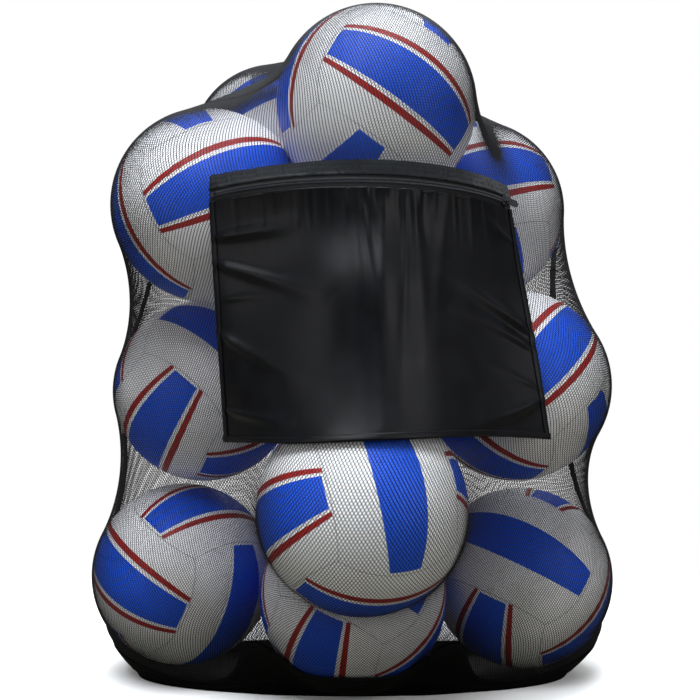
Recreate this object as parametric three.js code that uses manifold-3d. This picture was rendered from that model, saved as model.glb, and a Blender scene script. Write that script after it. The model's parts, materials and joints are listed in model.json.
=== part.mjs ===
// Mesh ball bag, packed with twelve volleyballs and drawn shut at the neck.
// Millimetres, +Z up, +Y towards the back, origin at the centre of the base's underside.
// The net is a thin sheet pulled tight over the packed balls; everything sewn to it follows it.

import * as THREE from 'three';
import { mergeVertices } from 'three/addons/utils/BufferGeometryUtils.js';
import Module from 'manifold-3d';

const wasm = await Module();
wasm.setup();

// ---- Driving dimensions -------------------------------------------------------------------

const BALL_RADIUS = 105;
const BALL_GAP = 0.6;
const BALL_LOWEST = 112;
const SETTLING_ROUNDS = 400;
const GAP = 0.3;

// Where each ball roughly rests, before the pack settles.
const BALL_SEATS = [
  [-198, -12, 123],
  [2, -74, 109],
  [199, -7, 117],
  [10, -244, 246],
  [-172, -9, 339],
  [179, -89, 353],
  [26, 37, 282],
  [6, -178, 446],
  [-153, -98, 548],
  [141, 9, 547],
  [-93, 99, 625],
  [25, -133, 652],
];

const BASE = { halfWidth: 248, halfDepth: 80, squareness: 2.3, thickness: 2.4, edgeInset: 4 };
const NECK = { x: -5, y: 7, z: 736, radius: 19 };

const NET = { columns: 50, backColumns: 21, rows: 25, standOff: 3.2, faceGap: 0.7, thickness: 1.2,
  bottomZ: 4, seamGap: 0.8 };
const NET_START = { topZ: 980, widthBulge: 205, depthBulge: 300, forward: 75 };
const NET_ROUNDS = 600;
const NET_LOWERING_ROUNDS = 200;
const FACE_ROUNDS = 40;
const NET_UPWARD_PULL = 0.64;
const NET_STEP = 0.6;

const BINDING = { width: 12, lift: 1.6, thickness: 1.2 };
const BASE_BINDING = { rows: 0.45, lift: 0.8, thickness: 1.3 };

// The zip lies on a circular arc through these three points of the pocket.
const ZIP_LEFT = [-139, -216, 555];
const ZIP_MIDDLE = [9, -260, 567];
const ZIP_RIGHT = [160, -166, 550];
const TAPE = { reach: 6, slit: 0.9, thickness: 1 };
const COIL = { width: 1.7, front: 0.8, depth: 1.6 };
const SLIDER = { length: 9, halfHeight: 4.5, plate: 1.3, post: 0.6, postHalfLength: 1.6,
  clearance: 0.35, fuse: 0.2 };
const BRIDGE = { halfLength: 3.2, opening: 2, halfHeight: 1.2, rise: 2.4, top: 0.9 };
const PULL = { length: 24, halfHeight: 3.4, thickness: 1.1, hole: 1.7, holeLength: 3.6 };
const ZIP_STOP = { length: 4, room: 0.4 };

const POCKET = {
  bottomLeft: [-129, 309],
  bottomRight: [203, 308],
  bottomArch: 17,
  topRise: 15,
  thickness: 1.2,
  clearance: 5,
  hem: 7,
  seam: 0.5,
};

const CORD_RADIUS = 2.5;
const HEM = { ring: 22, outer: 6.5, inner: 3.7, z: 745, opening: 90 };
const TAIL = { x: 10, spread: 6.5, top: 640, bottom: 430, room: 8 };
// Where each cord leaves the tails' straight run and climbs over the net's shoulder to the hem.
const SHOULDER = { foldBack: 12, foldRise: 42, climbBack: 55, climbDrop: 22,
  mouthSpread: 8, mouthBack: 32, mouthRise: 3 };
const CORD_END = { halfLength: 9, mouth: 4, belly: 5.5, bellyTop: -3 };
const CORD_LOCK = { halfLength: 17, halfDepth: 8, height: 17, z: 628, wall: 2.5, cordRoom: 0.4 };
const PLUNGER = { radius: 5, press: 4, capRim: 2, capLength: 5, seatRoom: 1.5 };
const SPRING = { turns: 3.5, radius: 3, wire: 0.4, steps: 42, endRoom: 0.8 };

const STRAP = { x: 120, width: 36, thickness: 2.2, topZ: 606, bottomZ: 62, standOut: 22, slack: 58,
  straightTop: 470, straightBottom: 190 };
const STRAP_BEND = { clip: 8, turn: 52, swell: 6, straight: 30 };
// The tab ends in a blunt wedge, which leaves the strap room to swing.
const ANCHOR = { halfPatch: 20, lift: 3.6, tabGap: 3, thickness: 1.6, halfTab: 9, halfTip: 1,
  wedge: 6.2, halfHeight: 6, lowestRow: 0.6 };
const ADJUSTER = { halfWidth: 23, halfDepth: 4, halfHeight: 11, wall: 4, start: 60, room: 0.5 };

// ---- Materials ----------------------------------------------------------------------------

function paint(color, roughness, metalness = 0) {
  return new THREE.MeshStandardMaterial({ color, roughness, metalness });
}

const NET_CLOTH = paint(0x15161a, 0.8);
const NYLON = paint(0x0d0e12, 0.4);
const WEBBING = paint(0x101114, 0.75);
const BALL_SKIN = paint(0xe6e6ec, 0.5);
const BLACK_PLASTIC = paint(0x17181b, 0.45);
const STEEL = paint(0x9a9ca0, 0.35, 1);

const bag = new THREE.Group();

function piece(name, geometry, material, parent = bag) {
  const mesh = new THREE.Mesh(geometry, material);
  mesh.name = name;
  parent.add(mesh);
  return mesh;
}

// ---- Geometry helpers ---------------------------------------------------------------------

function signedVolume(vertices, faces) {
  let volume = 0;
  for (let i = 0; i < faces.length; i += 3) {
    const [a, b, c] = [vertices[faces[i]], vertices[faces[i + 1]], vertices[faces[i + 2]]];
    volume += a.dot(b.clone().cross(c)) / 6;
  }
  return volume;
}

// A closed solid between two sheets of points with the same rows and columns.
function sheetSolid(front, back, wrap = false) {
  const rows = front.length;
  const columns = front[0].length;
  const vertices = [...front.flat(), ...back.flat()];
  const at = (side, row, column) => (side * rows + row) * columns + (column % columns);
  const faces = [];
  const quad = (a, b, c, d) => faces.push(a, b, c, a, c, d);
  const last = wrap ? columns : columns - 1;
  for (let c = 0; c < last; c++) {
    for (let r = 0; r < rows - 1; r++) {
      quad(at(0, r, c), at(0, r, c + 1), at(0, r + 1, c + 1), at(0, r + 1, c));
      quad(at(1, r, c), at(1, r + 1, c), at(1, r + 1, c + 1), at(1, r, c + 1));
    }
    quad(at(1, 0, c), at(1, 0, c + 1), at(0, 0, c + 1), at(0, 0, c));
    quad(at(0, rows - 1, c), at(0, rows - 1, c + 1), at(1, rows - 1, c + 1), at(1, rows - 1, c));
  }
  for (let r = 0; r < rows - 1 && !wrap; r++) {
    quad(at(1, r, 0), at(0, r, 0), at(0, r + 1, 0), at(1, r + 1, 0));
    quad(at(0, r, last), at(1, r, last), at(1, r + 1, last), at(0, r + 1, last));
  }
  if (signedVolume(vertices, faces) < 0) faces.reverse();
  const geometry = new THREE.BufferGeometry().setFromPoints(vertices);
  geometry.setIndex(faces);
  return geometry;
}

function toManifold(geometry) {
  const bare = geometry.clone();
  bare.deleteAttribute('normal');
  bare.deleteAttribute('uv');
  const merged = mergeVertices(bare, 1e-4);
  const vertProperties = new Float32Array(merged.attributes.position.array);
  const triVerts = new Uint32Array(merged.index.array);
  return new wasm.Manifold(new wasm.Mesh({ numProp: 3, vertProperties, triVerts }));
}

function fromManifold(solid) {
  const { vertProperties, triVerts } = solid.getMesh();
  const geometry = new THREE.BufferGeometry();
  geometry.setAttribute('position', new THREE.BufferAttribute(vertProperties, 3));
  geometry.setIndex(new THREE.BufferAttribute(triVerts, 1));
  return geometry;
}

const join = (...geometries) => fromManifold(geometries.map(toManifold).reduce((a, b) => a.add(b)));

function cut(body, ...tools) {
  return fromManifold(tools.map(toManifold).reduce((a, b) => a.subtract(b), toManifold(body)));
}

function block(x0, x1, y0, y1, z0, z1) {
  const geometry = new THREE.BoxGeometry(x1 - x0, y1 - y0, z1 - z0);
  return geometry.translate((x0 + x1) / 2, (y0 + y1) / 2, (z0 + z1) / 2);
}

function roundShape(radius, segments) {
  const shape = new THREE.Shape();
  for (let i = 0; i <= segments; i++) {
    const a = (2 * Math.PI * i) / segments;
    const [x, y] = [radius * Math.cos(a), radius * Math.sin(a)];
    if (i === 0) shape.moveTo(x, y);
    else shape.lineTo(x, y);
  }
  return shape;
}

function alongPath(shape, path, steps) {
  return new THREE.ExtrudeGeometry(shape, { extrudePath: path, steps, bevelEnabled: false });
}

// ---- Balls --------------------------------------------------------------------------------

// Nudges the balls apart until no two overlap and none sinks below the base.
function settleBalls() {
  const balls = BALL_SEATS.map(seat => new THREE.Vector3(...seat));
  const reach = 2 * BALL_RADIUS + BALL_GAP;
  for (let round = 0; round < SETTLING_ROUNDS; round++) {
    for (let i = 0; i < balls.length; i++) {
      for (let j = i + 1; j < balls.length; j++) {
        const between = balls[j].clone().sub(balls[i]);
        const overlap = reach - between.length();
        if (overlap <= 0) continue;
        between.setLength(overlap / 2);
        balls[i].sub(between);
        balls[j].add(between);
      }
    }
    for (const ball of balls) ball.z = Math.max(ball.z, BALL_LOWEST);
  }
  return balls;
}

const BALLS = settleBalls();

function buildBalls() {
  BALLS.forEach((centre, i) => {
    const name = `ball_${String(i + 1).padStart(2, '0')}`;
    const ball = piece(name, new THREE.IcosahedronGeometry(BALL_RADIUS, 3), BALL_SKIN);
    ball.position.copy(centre);
  });
}

// ---- Net surface --------------------------------------------------------------------------

function superCircle(angle, squareness) {
  const power = 2 / squareness;
  const [c, s] = [Math.cos(angle), Math.sin(angle)];
  return [Math.sign(c) * Math.abs(c) ** power, Math.sign(s) * Math.abs(s) ** power];
}

function baseOutline(angle, inset = 0) {
  const [c, s] = superCircle(angle, BASE.squareness);
  return [(BASE.halfWidth - inset) * c, (BASE.halfDepth - inset) * s];
}

// The back half of the net has fewer columns than the front half, which bulges more.
function columnAngle(i) {
  if (i <= NET.backColumns) return (Math.PI * i) / NET.backColumns;
  return Math.PI * (1 + (i - NET.backColumns) / (NET.columns - NET.backColumns));
}

// A roomy bag shape that holds every ball, before the net is pulled tight.
function slackNet() {
  const rows = [];
  for (let j = 0; j <= NET.rows; j++) {
    const t = j / NET.rows;
    const swell = Math.sqrt(Math.max(0, Math.sin(Math.PI * t)));
    const squareness = THREE.MathUtils.lerp(BASE.squareness, 2, t);
    const row = [];
    for (let i = 0; i < NET.columns; i++) {
      const [c, s] = superCircle(columnAngle(i), squareness);
      const halfWidth = THREE.MathUtils.lerp(BASE.halfWidth, NECK.radius, t) + NET_START.widthBulge * swell;
      const halfDepth = THREE.MathUtils.lerp(BASE.halfDepth, NECK.radius, t) + NET_START.depthBulge * swell;
      const centreY = NECK.y * t - NET_START.forward * Math.sin(Math.PI * t);
      const z = THREE.MathUtils.lerp(NET.bottomZ, NET_START.topZ, t);
      row.push(new THREE.Vector3(NECK.x * t + halfWidth * c, centreY + halfDepth * s, z));
    }
    rows.push(row);
  }
  return rows;
}

function pushOutOfBalls(point) {
  const reach = BALL_RADIUS + NET.standOff;
  for (const centre of BALLS) {
    const distance = point.distanceTo(centre);
    if (distance < reach) point.sub(centre).multiplyScalar(reach / distance).add(centre);
  }
}

// Lifts any face or edge of the net that cuts into a ball between its knots.
function clearFaces(rows) {
  const reach = BALL_RADIUS + NET.faceGap;
  const lift = (...knots) => {
    const middle = new THREE.Vector3();
    for (const knot of knots) middle.addScaledVector(knot, 1 / knots.length);
    for (const centre of BALLS) {
      const out = middle.clone().sub(centre);
      const depth = reach - out.length();
      if (depth <= 0) continue;
      out.setLength(depth);
      for (const knot of knots) knot.add(out);
      middle.add(out);
    }
  };
  for (let j = 0; j < NET.rows - 1; j++) {
    for (let i = 0; i < NET.columns; i++) {
      const next = (i + 1) % NET.columns;
      const [a, b, c, d] = [rows[j][i], rows[j][next], rows[j + 1][next], rows[j + 1][i]];
      if (j > 0) {
        lift(a, b);
        lift(a, c);
        lift(a, d);
        lift(a, b, c);
        lift(a, c, d);
      }
    }
  }
}

// Pulls the slack net tight: every knot moves towards its neighbours, and no knot enters a ball.
function tightNet() {
  const rows = slackNet();
  const columns = NET.columns;
  for (let round = 0; round < NET_ROUNDS; round++) {
    const lowered = Math.min(1, round / NET_LOWERING_ROUNDS);
    for (const knot of rows[NET.rows]) knot.z = THREE.MathUtils.lerp(NET_START.topZ, NECK.z, lowered);
    const before = rows.map(row => row.map(knot => knot.clone()));
    for (let j = 1; j < NET.rows; j++) {
      for (let i = 0; i < columns; i++) {
        const upright = before[j - 1][i].clone().add(before[j + 1][i]).multiplyScalar(NET_UPWARD_PULL / 2);
        const around = before[j][(i + 1) % columns].clone().add(before[j][(i + columns - 1) % columns]);
        around.multiplyScalar((1 - NET_UPWARD_PULL) / 2);
        const knot = rows[j][i];
        knot.lerp(upright.add(around), NET_STEP);
        pushOutOfBalls(knot);
        pushOutOfBalls(knot);
        knot.z = Math.max(knot.z, NET.bottomZ);
      }
    }
    if (round >= NET_ROUNDS - FACE_ROUNDS) clearFaces(rows);
  }
  return rows;
}

const KNOTS = tightNet();

function knotNormals() {
  const columns = NET.columns;
  return KNOTS.map((row, j) => row.map((knot, i) => {
    const across = row[(i + 1) % columns].clone().sub(row[(i + columns - 1) % columns]);
    const up = KNOTS[Math.min(j + 1, NET.rows)][i].clone().sub(KNOTS[Math.max(j - 1, 0)][i]);
    return across.cross(up).normalize();
  }));
}

const NORMALS = knotNormals();

function blend(grid, u, v) {
  const row = Math.min(Math.floor(v), NET.rows - 1);
  const column = Math.floor(u);
  const [fu, fv] = [u - column, v - row];
  const at = (r, c) => grid[r][((c % NET.columns) + NET.columns) % NET.columns];
  const low = at(row, column).clone().lerp(at(row, column + 1), fu);
  const high = at(row + 1, column).clone().lerp(at(row + 1, column + 1), fu);
  return low.lerp(high, fv);
}

// The point of the net at column u and row v, lifted outwards.
function onNet(u, v, lift = 0) {
  return blend(KNOTS, u, v).addScaledVector(blend(NORMALS, u, v).normalize(), lift);
}

const RIGHT_SEAM = 0;
const LEFT_SEAM = NET.backColumns;

// Columns per millimetre across the net at this place.
function columnsPerMillimetre(u, v) {
  return 0.2 / onNet(u - 0.1, v).distanceTo(onNet(u + 0.1, v));
}

function buildNetPanel(name, seamA, seamB) {
  const count = seamB - seamA;
  const sheet = lift => {
    const rows = [];
    for (const v of [0, BASE_BINDING.rows, ...Array.from({ length: NET.rows }, (_, j) => j + 1)]) {
      const row = [];
      for (let k = 0; k <= count; k++) {
        let u = THREE.MathUtils.lerp(seamA, seamB, k / count);
        if (k === 0) u += NET.seamGap * columnsPerMillimetre(u, v);
        if (k === count) u -= NET.seamGap * columnsPerMillimetre(u, v);
        row.push(onNet(u, v, lift));
      }
      rows.push(row);
    }
    return rows;
  };
  piece(name, sheetSolid(sheet(NET.thickness), sheet(0)), NET_CLOTH);
}

function buildSideBinding(name, seam) {
  const sheet = lift => {
    const rows = [];
    for (let v = 1; v <= NET.rows - 1; v++) {
      const half = (BINDING.width / 2) * columnsPerMillimetre(seam, v);
      rows.push([-half, 0, half].map(offset => onNet(seam + offset, v, lift)));
    }
    return rows;
  };
  const inner = NET.thickness + BINDING.lift;
  piece(name, sheetSolid(sheet(inner + BINDING.thickness), sheet(inner)), WEBBING);
}

function buildBase() {
  const outline = new THREE.Shape();
  for (let i = 0; i < NET.columns; i++) {
    const [x, y] = baseOutline(columnAngle(i), BASE.edgeInset);
    if (i === 0) outline.moveTo(x, y);
    else outline.lineTo(x, y);
  }
  const sheet = new THREE.ExtrudeGeometry(outline, { depth: BASE.thickness, bevelEnabled: false });
  piece('base_panel', sheet, NYLON);

  const band = lift => [0, BASE_BINDING.rows].map(v => {
    const row = [];
    for (let u = 0; u < NET.columns; u++) row.push(onNet(u, v, lift));
    return row;
  });
  const inner = NET.thickness + BASE_BINDING.lift;
  piece('base_binding', sheetSolid(band(inner + BASE_BINDING.thickness), band(inner), true), WEBBING);
}

// ---- Neck, drawcord and cord lock ---------------------------------------------------------

// A level ring about the neck, open at the back, as a curve that runs once around.
class NeckRing extends THREE.Curve {
  constructor(radius, z, openingDegrees) {
    super();
    Object.assign(this, { radius, z, openingDegrees });
  }

  getPoint(t, target = new THREE.Vector3()) {
    const half = this.openingDegrees / 2;
    const a = THREE.MathUtils.degToRad(90 + half + (360 - this.openingDegrees) * t);
    return target.set(NECK.x + this.radius * Math.cos(a), NECK.y + this.radius * Math.sin(a), this.z);
  }
}

function backOfNet(x, halfWidth, z0, z1) {
  let furthest = -Infinity;
  for (const knot of KNOTS.flat()) {
    const near = Math.abs(knot.x - x) < halfWidth && knot.z > z0 && knot.z < z1;
    if (near) furthest = Math.max(furthest, knot.y);
  }
  return furthest;
}

const TAIL_Y = backOfNet(TAIL.x, 60, TAIL.bottom - 20, TAIL.top + 10) + CORD_LOCK.halfDepth + TAIL.room;

function buildNeck() {
  const sleeve = roundShape(HEM.outer, 8);
  sleeve.holes.push(roundShape(HEM.inner, 8));
  piece('neck_hem', alongPath(sleeve, new NeckRing(HEM.ring, HEM.z, HEM.opening), 20), NYLON);

  const mouthY = NECK.y + HEM.ring + SHOULDER.mouthBack;
  const tail = side => {
    const x = TAIL.x + side * TAIL.spread;
    return [
      new THREE.Vector3(x, TAIL_Y, TAIL.bottom),
      new THREE.Vector3(x, TAIL_Y, (TAIL.bottom + TAIL.top) / 2),
      new THREE.Vector3(x, TAIL_Y, TAIL.top - 20),
      new THREE.Vector3(x, TAIL_Y, TAIL.top),
      new THREE.Vector3(x, TAIL_Y - SHOULDER.foldBack, TAIL.top + SHOULDER.foldRise),
      new THREE.Vector3(x - 0.2 * TAIL.x, TAIL_Y - SHOULDER.climbBack, HEM.z - SHOULDER.climbDrop),
      new THREE.Vector3(0.4 * TAIL.x + side * SHOULDER.mouthSpread, mouthY, HEM.z + SHOULDER.mouthRise),
    ];
  };
  const ring = new NeckRing(HEM.ring, HEM.z, HEM.opening - 14).getPoints(20);
  const path = new THREE.CatmullRomCurve3([...tail(-1), ...ring, ...tail(1).reverse()], false, 'centripetal');
  piece('drawcord', alongPath(roundShape(CORD_RADIUS, 6), path, 72), WEBBING);

  for (const [name, side] of [['cord_end_left', -1], ['cord_end_right', 1]]) {
    const bore = CORD_RADIUS + GAP;
    const { halfLength, mouth, belly, bellyTop } = CORD_END;
    const outline = [[0, -halfLength], [belly, -halfLength], [belly, bellyTop], [mouth, halfLength],
      [bore, halfLength], [bore, -GAP], [0, -GAP]];
    const bell = new THREE.LatheGeometry(outline.map(([r, h]) => new THREE.Vector2(r, h)), 12);
    const mesh = piece(name, bell, BLACK_PLASTIC);
    mesh.rotation.x = Math.PI / 2;
    mesh.position.set(TAIL.x + side * TAIL.spread, TAIL_Y, TAIL.bottom);
  }
}

// The lock in its own frame: cords run along z, the plunger slides along x and presses inwards.
function buildCordLock() {
  const lock = new THREE.Group();
  lock.position.set(TAIL.x, TAIL_Y, CORD_LOCK.z - CORD_LOCK.height / 2);
  bag.add(lock);
  const cordBore = (x, radius) => {
    const bore = new THREE.CylinderGeometry(radius, radius, CORD_LOCK.height + 10, 12);
    return bore.rotateX(Math.PI / 2).translate(x, 0, 0);
  };
  const rod = (radius, x0, x1) => {
    const bar = new THREE.CylinderGeometry(radius, radius, x1 - x0, 16);
    return bar.rotateZ(Math.PI / 2).translate((x0 + x1) / 2, 0, 0);
  };
  const { halfLength, halfDepth, height, wall, cordRoom } = CORD_LOCK;
  const inside = halfLength - wall;
  const body = cut(
    block(-halfLength, halfLength, -halfDepth, halfDepth, -height / 2, height / 2),
    cordBore(-TAIL.spread, CORD_RADIUS + cordRoom),
    cordBore(TAIL.spread, CORD_RADIUS + cordRoom),
    rod(PLUNGER.radius + GAP, -inside, halfLength + height),
  );
  piece('cord_lock_body', body, BLACK_PLASTIC, lock);

  const room = CORD_RADIUS + GAP;
  const slot = x => block(x - room, x + room + PLUNGER.press, -room, room, -height, height);
  const springSeat = -inside + PLUNGER.press + PLUNGER.seatRoom;
  const pressedCap = halfLength + PLUNGER.press;
  const stem = rod(PLUNGER.radius, springSeat, pressedCap + 1);
  const cap = rod(PLUNGER.radius + PLUNGER.capRim, pressedCap + GAP, pressedCap + PLUNGER.capLength);
  const button = cut(join(stem, cap), slot(-TAIL.spread), slot(TAIL.spread));
  piece('cord_lock_button', button, BLACK_PLASTIC, lock);

  const coil = [];
  for (let i = 0; i <= SPRING.steps; i++) {
    const a = (2 * Math.PI * SPRING.turns * i) / SPRING.steps;
    const x = THREE.MathUtils.lerp(-inside + SPRING.endRoom, springSeat - SPRING.endRoom, i / SPRING.steps);
    coil.push(new THREE.Vector3(x, SPRING.radius * Math.cos(a), SPRING.radius * Math.sin(a)));
  }
  const wire = alongPath(roundShape(SPRING.wire, 4), new THREE.CatmullRomCurve3(coil), SPRING.steps);
  piece('cord_lock_spring', wire, STEEL, lock);
}

// ---- Zip ----------------------------------------------------------------------------------

// Centre, radius and upright axis of the circle through three points.
function circleThrough(a, b, c) {
  const [ab, ac] = [b.clone().sub(a), c.clone().sub(a)];
  const axis = ab.clone().cross(ac).normalize();
  if (axis.z < 0) axis.negate();
  const normal = ab.clone().cross(ac);
  const towards = normal.clone().cross(ab).multiplyScalar(ac.lengthSq());
  towards.add(ac.clone().cross(normal).multiplyScalar(ab.lengthSq()));
  towards.divideScalar(2 * normal.lengthSq());
  return { centre: a.clone().add(towards), radius: towards.length(), axis };
}

const [ZIP_A, ZIP_B, ZIP_C] = [ZIP_LEFT, ZIP_MIDDLE, ZIP_RIGHT].map(p => new THREE.Vector3(...p));
const ZIP = circleThrough(ZIP_A, ZIP_B, ZIP_C);
const ZIP_TURN = new THREE.Quaternion().setFromUnitVectors(new THREE.Vector3(0, 0, 1), ZIP.axis);

function zipAngle(point) {
  const local = point.clone().sub(ZIP.centre).applyQuaternion(ZIP_TURN.clone().invert());
  return Math.atan2(local.y, local.x);
}

const ZIP_START = zipAngle(ZIP_A);
const ZIP_END = zipAngle(ZIP_C);

// The point of the zip's arc at angle a, moved outwards and up its axis.
function onZip(a, outwards = 0, upwards = 0) {
  const radius = ZIP.radius + outwards;
  const point = new THREE.Vector3(radius * Math.cos(a), radius * Math.sin(a), upwards);
  return point.applyQuaternion(ZIP_TURN).add(ZIP.centre);
}

// A bar of the arc: r0..r1 outwards from the zip line, h0..h1 up its axis.
function arcBar(a0, a1, r0, r1, h0, h1, steps = 24) {
  const outline = new THREE.Shape();
  for (let i = 0; i <= steps; i++) {
    const a = THREE.MathUtils.lerp(a0, a1, i / steps);
    const [x, y] = [(ZIP.radius + r1) * Math.cos(a), (ZIP.radius + r1) * Math.sin(a)];
    if (i === 0) outline.moveTo(x, y);
    else outline.lineTo(x, y);
  }
  for (let i = steps; i >= 0; i--) {
    const a = THREE.MathUtils.lerp(a0, a1, i / steps);
    outline.lineTo((ZIP.radius + r0) * Math.cos(a), (ZIP.radius + r0) * Math.sin(a));
  }
  return new THREE.ExtrudeGeometry(outline, { depth: h1 - h0, bevelEnabled: false }).translate(0, 0, h0);
}

function buildZip() {
  const zip = new THREE.Group();
  zip.position.copy(ZIP.centre);
  zip.quaternion.copy(ZIP_TURN);
  bag.add(zip);

  const perMillimetre = 1 / ZIP.radius;
  const stopLength = (ZIP_STOP.length + ZIP_STOP.room) * perMillimetre;
  const [c0, c1] = [ZIP_START + stopLength, ZIP_END - stopLength];
  const half = TAPE.thickness / 2;
  const { slit, reach } = TAPE;
  piece('zip_tape_upper', arcBar(ZIP_START, ZIP_END, -half, half, slit, reach), NYLON, zip);
  piece('zip_tape_lower', arcBar(ZIP_START, ZIP_END, -half, half, -reach, -slit), NYLON, zip);
  const [front, back] = [COIL.front + COIL.depth, COIL.front];
  piece('zip_coil_upper', arcBar(c0, c1, back, front, slit, slit + COIL.width), BLACK_PLASTIC, zip);
  piece('zip_coil_lower', arcBar(c0, c1, back, front, -slit - COIL.width, -slit), BLACK_PLASTIC, zip);
  const stopSpan = ZIP_STOP.length * perMillimetre;
  const stopHalf = slit + COIL.width;
  const stop = (a0, a1) => arcBar(a0, a1, back, front, -stopHalf, stopHalf, 3);
  piece('zip_stop_left', stop(ZIP_START, ZIP_START + stopSpan), STEEL, zip);
  piece('zip_stop_right', stop(ZIP_END - stopSpan, ZIP_END), STEEL, zip);

  // The slider's own frame: x along the zip towards the closed end, y up the axis, z outwards.
  const sliderAngle = c1 - (SLIDER.length / 2 + 1) * perMillimetre;
  const slider = new THREE.Group();
  const outwards = new THREE.Vector3(Math.cos(sliderAngle), Math.sin(sliderAngle), 0);
  const along = new THREE.Vector3(-Math.sin(sliderAngle), Math.cos(sliderAngle), 0);
  const frame = new THREE.Matrix4().makeBasis(along, outwards.clone().cross(along), outwards);
  slider.quaternion.setFromRotationMatrix(frame);
  slider.position.copy(outwards).multiplyScalar(ZIP.radius);
  zip.add(slider);

  const long = SLIDER.length / 2;
  const high = SLIDER.halfHeight;
  const frontFace = front + SLIDER.clearance;
  const backFace = -half - SLIDER.clearance;
  const top = frontFace + SLIDER.plate;
  const bridgeTop = top + BRIDGE.rise;
  const { post, postHalfLength, fuse } = SLIDER;
  const bridge = (x0, x1, z0, z1) => block(x0, x1, -BRIDGE.halfHeight, BRIDGE.halfHeight, z0 - fuse, z1);
  const sliderBody = join(
    block(-long, long, -high, high, frontFace, top),
    block(-long, long, -high, high, backFace - SLIDER.plate, backFace),
    block(-postHalfLength, postHalfLength, -post, post, backFace - fuse, frontFace + fuse),
    bridge(-BRIDGE.halfLength, -BRIDGE.opening, top, bridgeTop),
    bridge(BRIDGE.opening, BRIDGE.halfLength, top, bridgeTop),
    bridge(-BRIDGE.halfLength, BRIDGE.halfLength, bridgeTop, bridgeTop + BRIDGE.top),
  );
  piece('zip_slider', sliderBody, STEEL, slider);

  const pullZ = top + BRIDGE.rise / 2;
  const tab = new THREE.Shape();
  const [w, barHalf] = [PULL.halfHeight, PULL.thickness / 2];
  tab.moveTo(-barHalf, -w);
  tab.lineTo(PULL.length - w, -w);
  tab.absarc(PULL.length - w, 0, w, -Math.PI / 2, Math.PI / 2, false);
  tab.lineTo(-barHalf, w);
  tab.closePath();
  const eye = new THREE.Path();
  eye.moveTo(barHalf, -PULL.hole);
  eye.lineTo(barHalf, PULL.hole);
  eye.lineTo(barHalf + PULL.holeLength, PULL.hole);
  eye.lineTo(barHalf + PULL.holeLength, -PULL.hole);
  eye.closePath();
  tab.holes.push(eye);
  const finish = { depth: PULL.thickness, bevelEnabled: false, curveSegments: 6 };
  const plate = new THREE.ExtrudeGeometry(tab, finish);
  piece('zip_pull', plate.translate(0, 0, pullZ - barHalf), STEEL, slider);
}

// ---- Pocket -------------------------------------------------------------------------------

// The front of the net in line with (x, z), from its triangles.
function frontOfNet(x, z) {
  let nearest = Infinity;
  const visit = (a, b, c) => {
    const area = (b.x - a.x) * (c.z - a.z) - (c.x - a.x) * (b.z - a.z);
    if (Math.abs(area) < 1e-9) return;
    const s = ((x - a.x) * (c.z - a.z) - (c.x - a.x) * (z - a.z)) / area;
    const t = ((b.x - a.x) * (z - a.z) - (x - a.x) * (b.z - a.z)) / area;
    if (s < -1e-6 || t < -1e-6 || s + t > 1 + 1e-6) return;
    nearest = Math.min(nearest, a.y + s * (b.y - a.y) + t * (c.y - a.y));
  };
  for (let j = 0; j < NET.rows; j++) {
    for (let i = 0; i < NET.columns; i++) {
      const next = (i + 1) % NET.columns;
      visit(KNOTS[j][i], KNOTS[j][next], KNOTS[j + 1][next]);
      visit(KNOTS[j][i], KNOTS[j + 1][next], KNOTS[j + 1][i]);
    }
  }
  return nearest - NET.thickness;
}

const POCKET_COLUMNS = 16;
const POCKET_ROWS = 11;
const DRAPE_ROUNDS = 300;

// Pocket cloth between two edges, held just in front of the net and pulled smooth.
function drapeCloth(low, high, rows, pinnedHigh) {
  const grid = [];
  for (let j = 0; j <= rows; j++) {
    const row = [];
    for (let i = 0; i <= POCKET_COLUMNS; i++) {
      const point = low[i].clone().lerp(high[i], j / rows);
      const limit = frontOfNet(point.x, point.z) - POCKET.clearance;
      const pinned = pinnedHigh && j === rows;
      row.push({ point, limit: pinned ? point.y : limit, pinned });
      if (!pinned) point.y = limit;
    }
    grid.push(row);
  }
  for (let round = 0; round < DRAPE_ROUNDS; round++) {
    for (let j = 0; j <= rows; j++) {
      for (let i = 0; i <= POCKET_COLUMNS; i++) {
        const here = grid[j][i];
        if (here.pinned) continue;
        const beside = [grid[j][i - 1], grid[j][i + 1]].filter(Boolean);
        const stacked = [grid[j - 1]?.[i], grid[j + 1]?.[i]].filter(Boolean);
        const edge = beside.length < 2 || stacked.length < 2;
        const near = edge ? (beside.length < 2 ? stacked : beside) : [...beside, ...stacked];
        const mean = near.reduce((sum, other) => sum + other.point.y, 0) / near.length;
        here.point.y = Math.min(here.limit, mean);
      }
    }
  }
  return grid.map(row => row.map(({ point }) => point));
}

function zipEdge(upwards) {
  const points = [];
  for (let i = 0; i <= POCKET_COLUMNS; i++) {
    points.push(onZip(THREE.MathUtils.lerp(ZIP_START, ZIP_END, i / POCKET_COLUMNS), 0, upwards));
  }
  return points;
}

function clothSolid(grid) {
  const outer = grid.map(row => row.map(p => p.clone().add(new THREE.Vector3(0, -POCKET.thickness, 0))));
  return sheetSolid(outer, grid);
}

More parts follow.
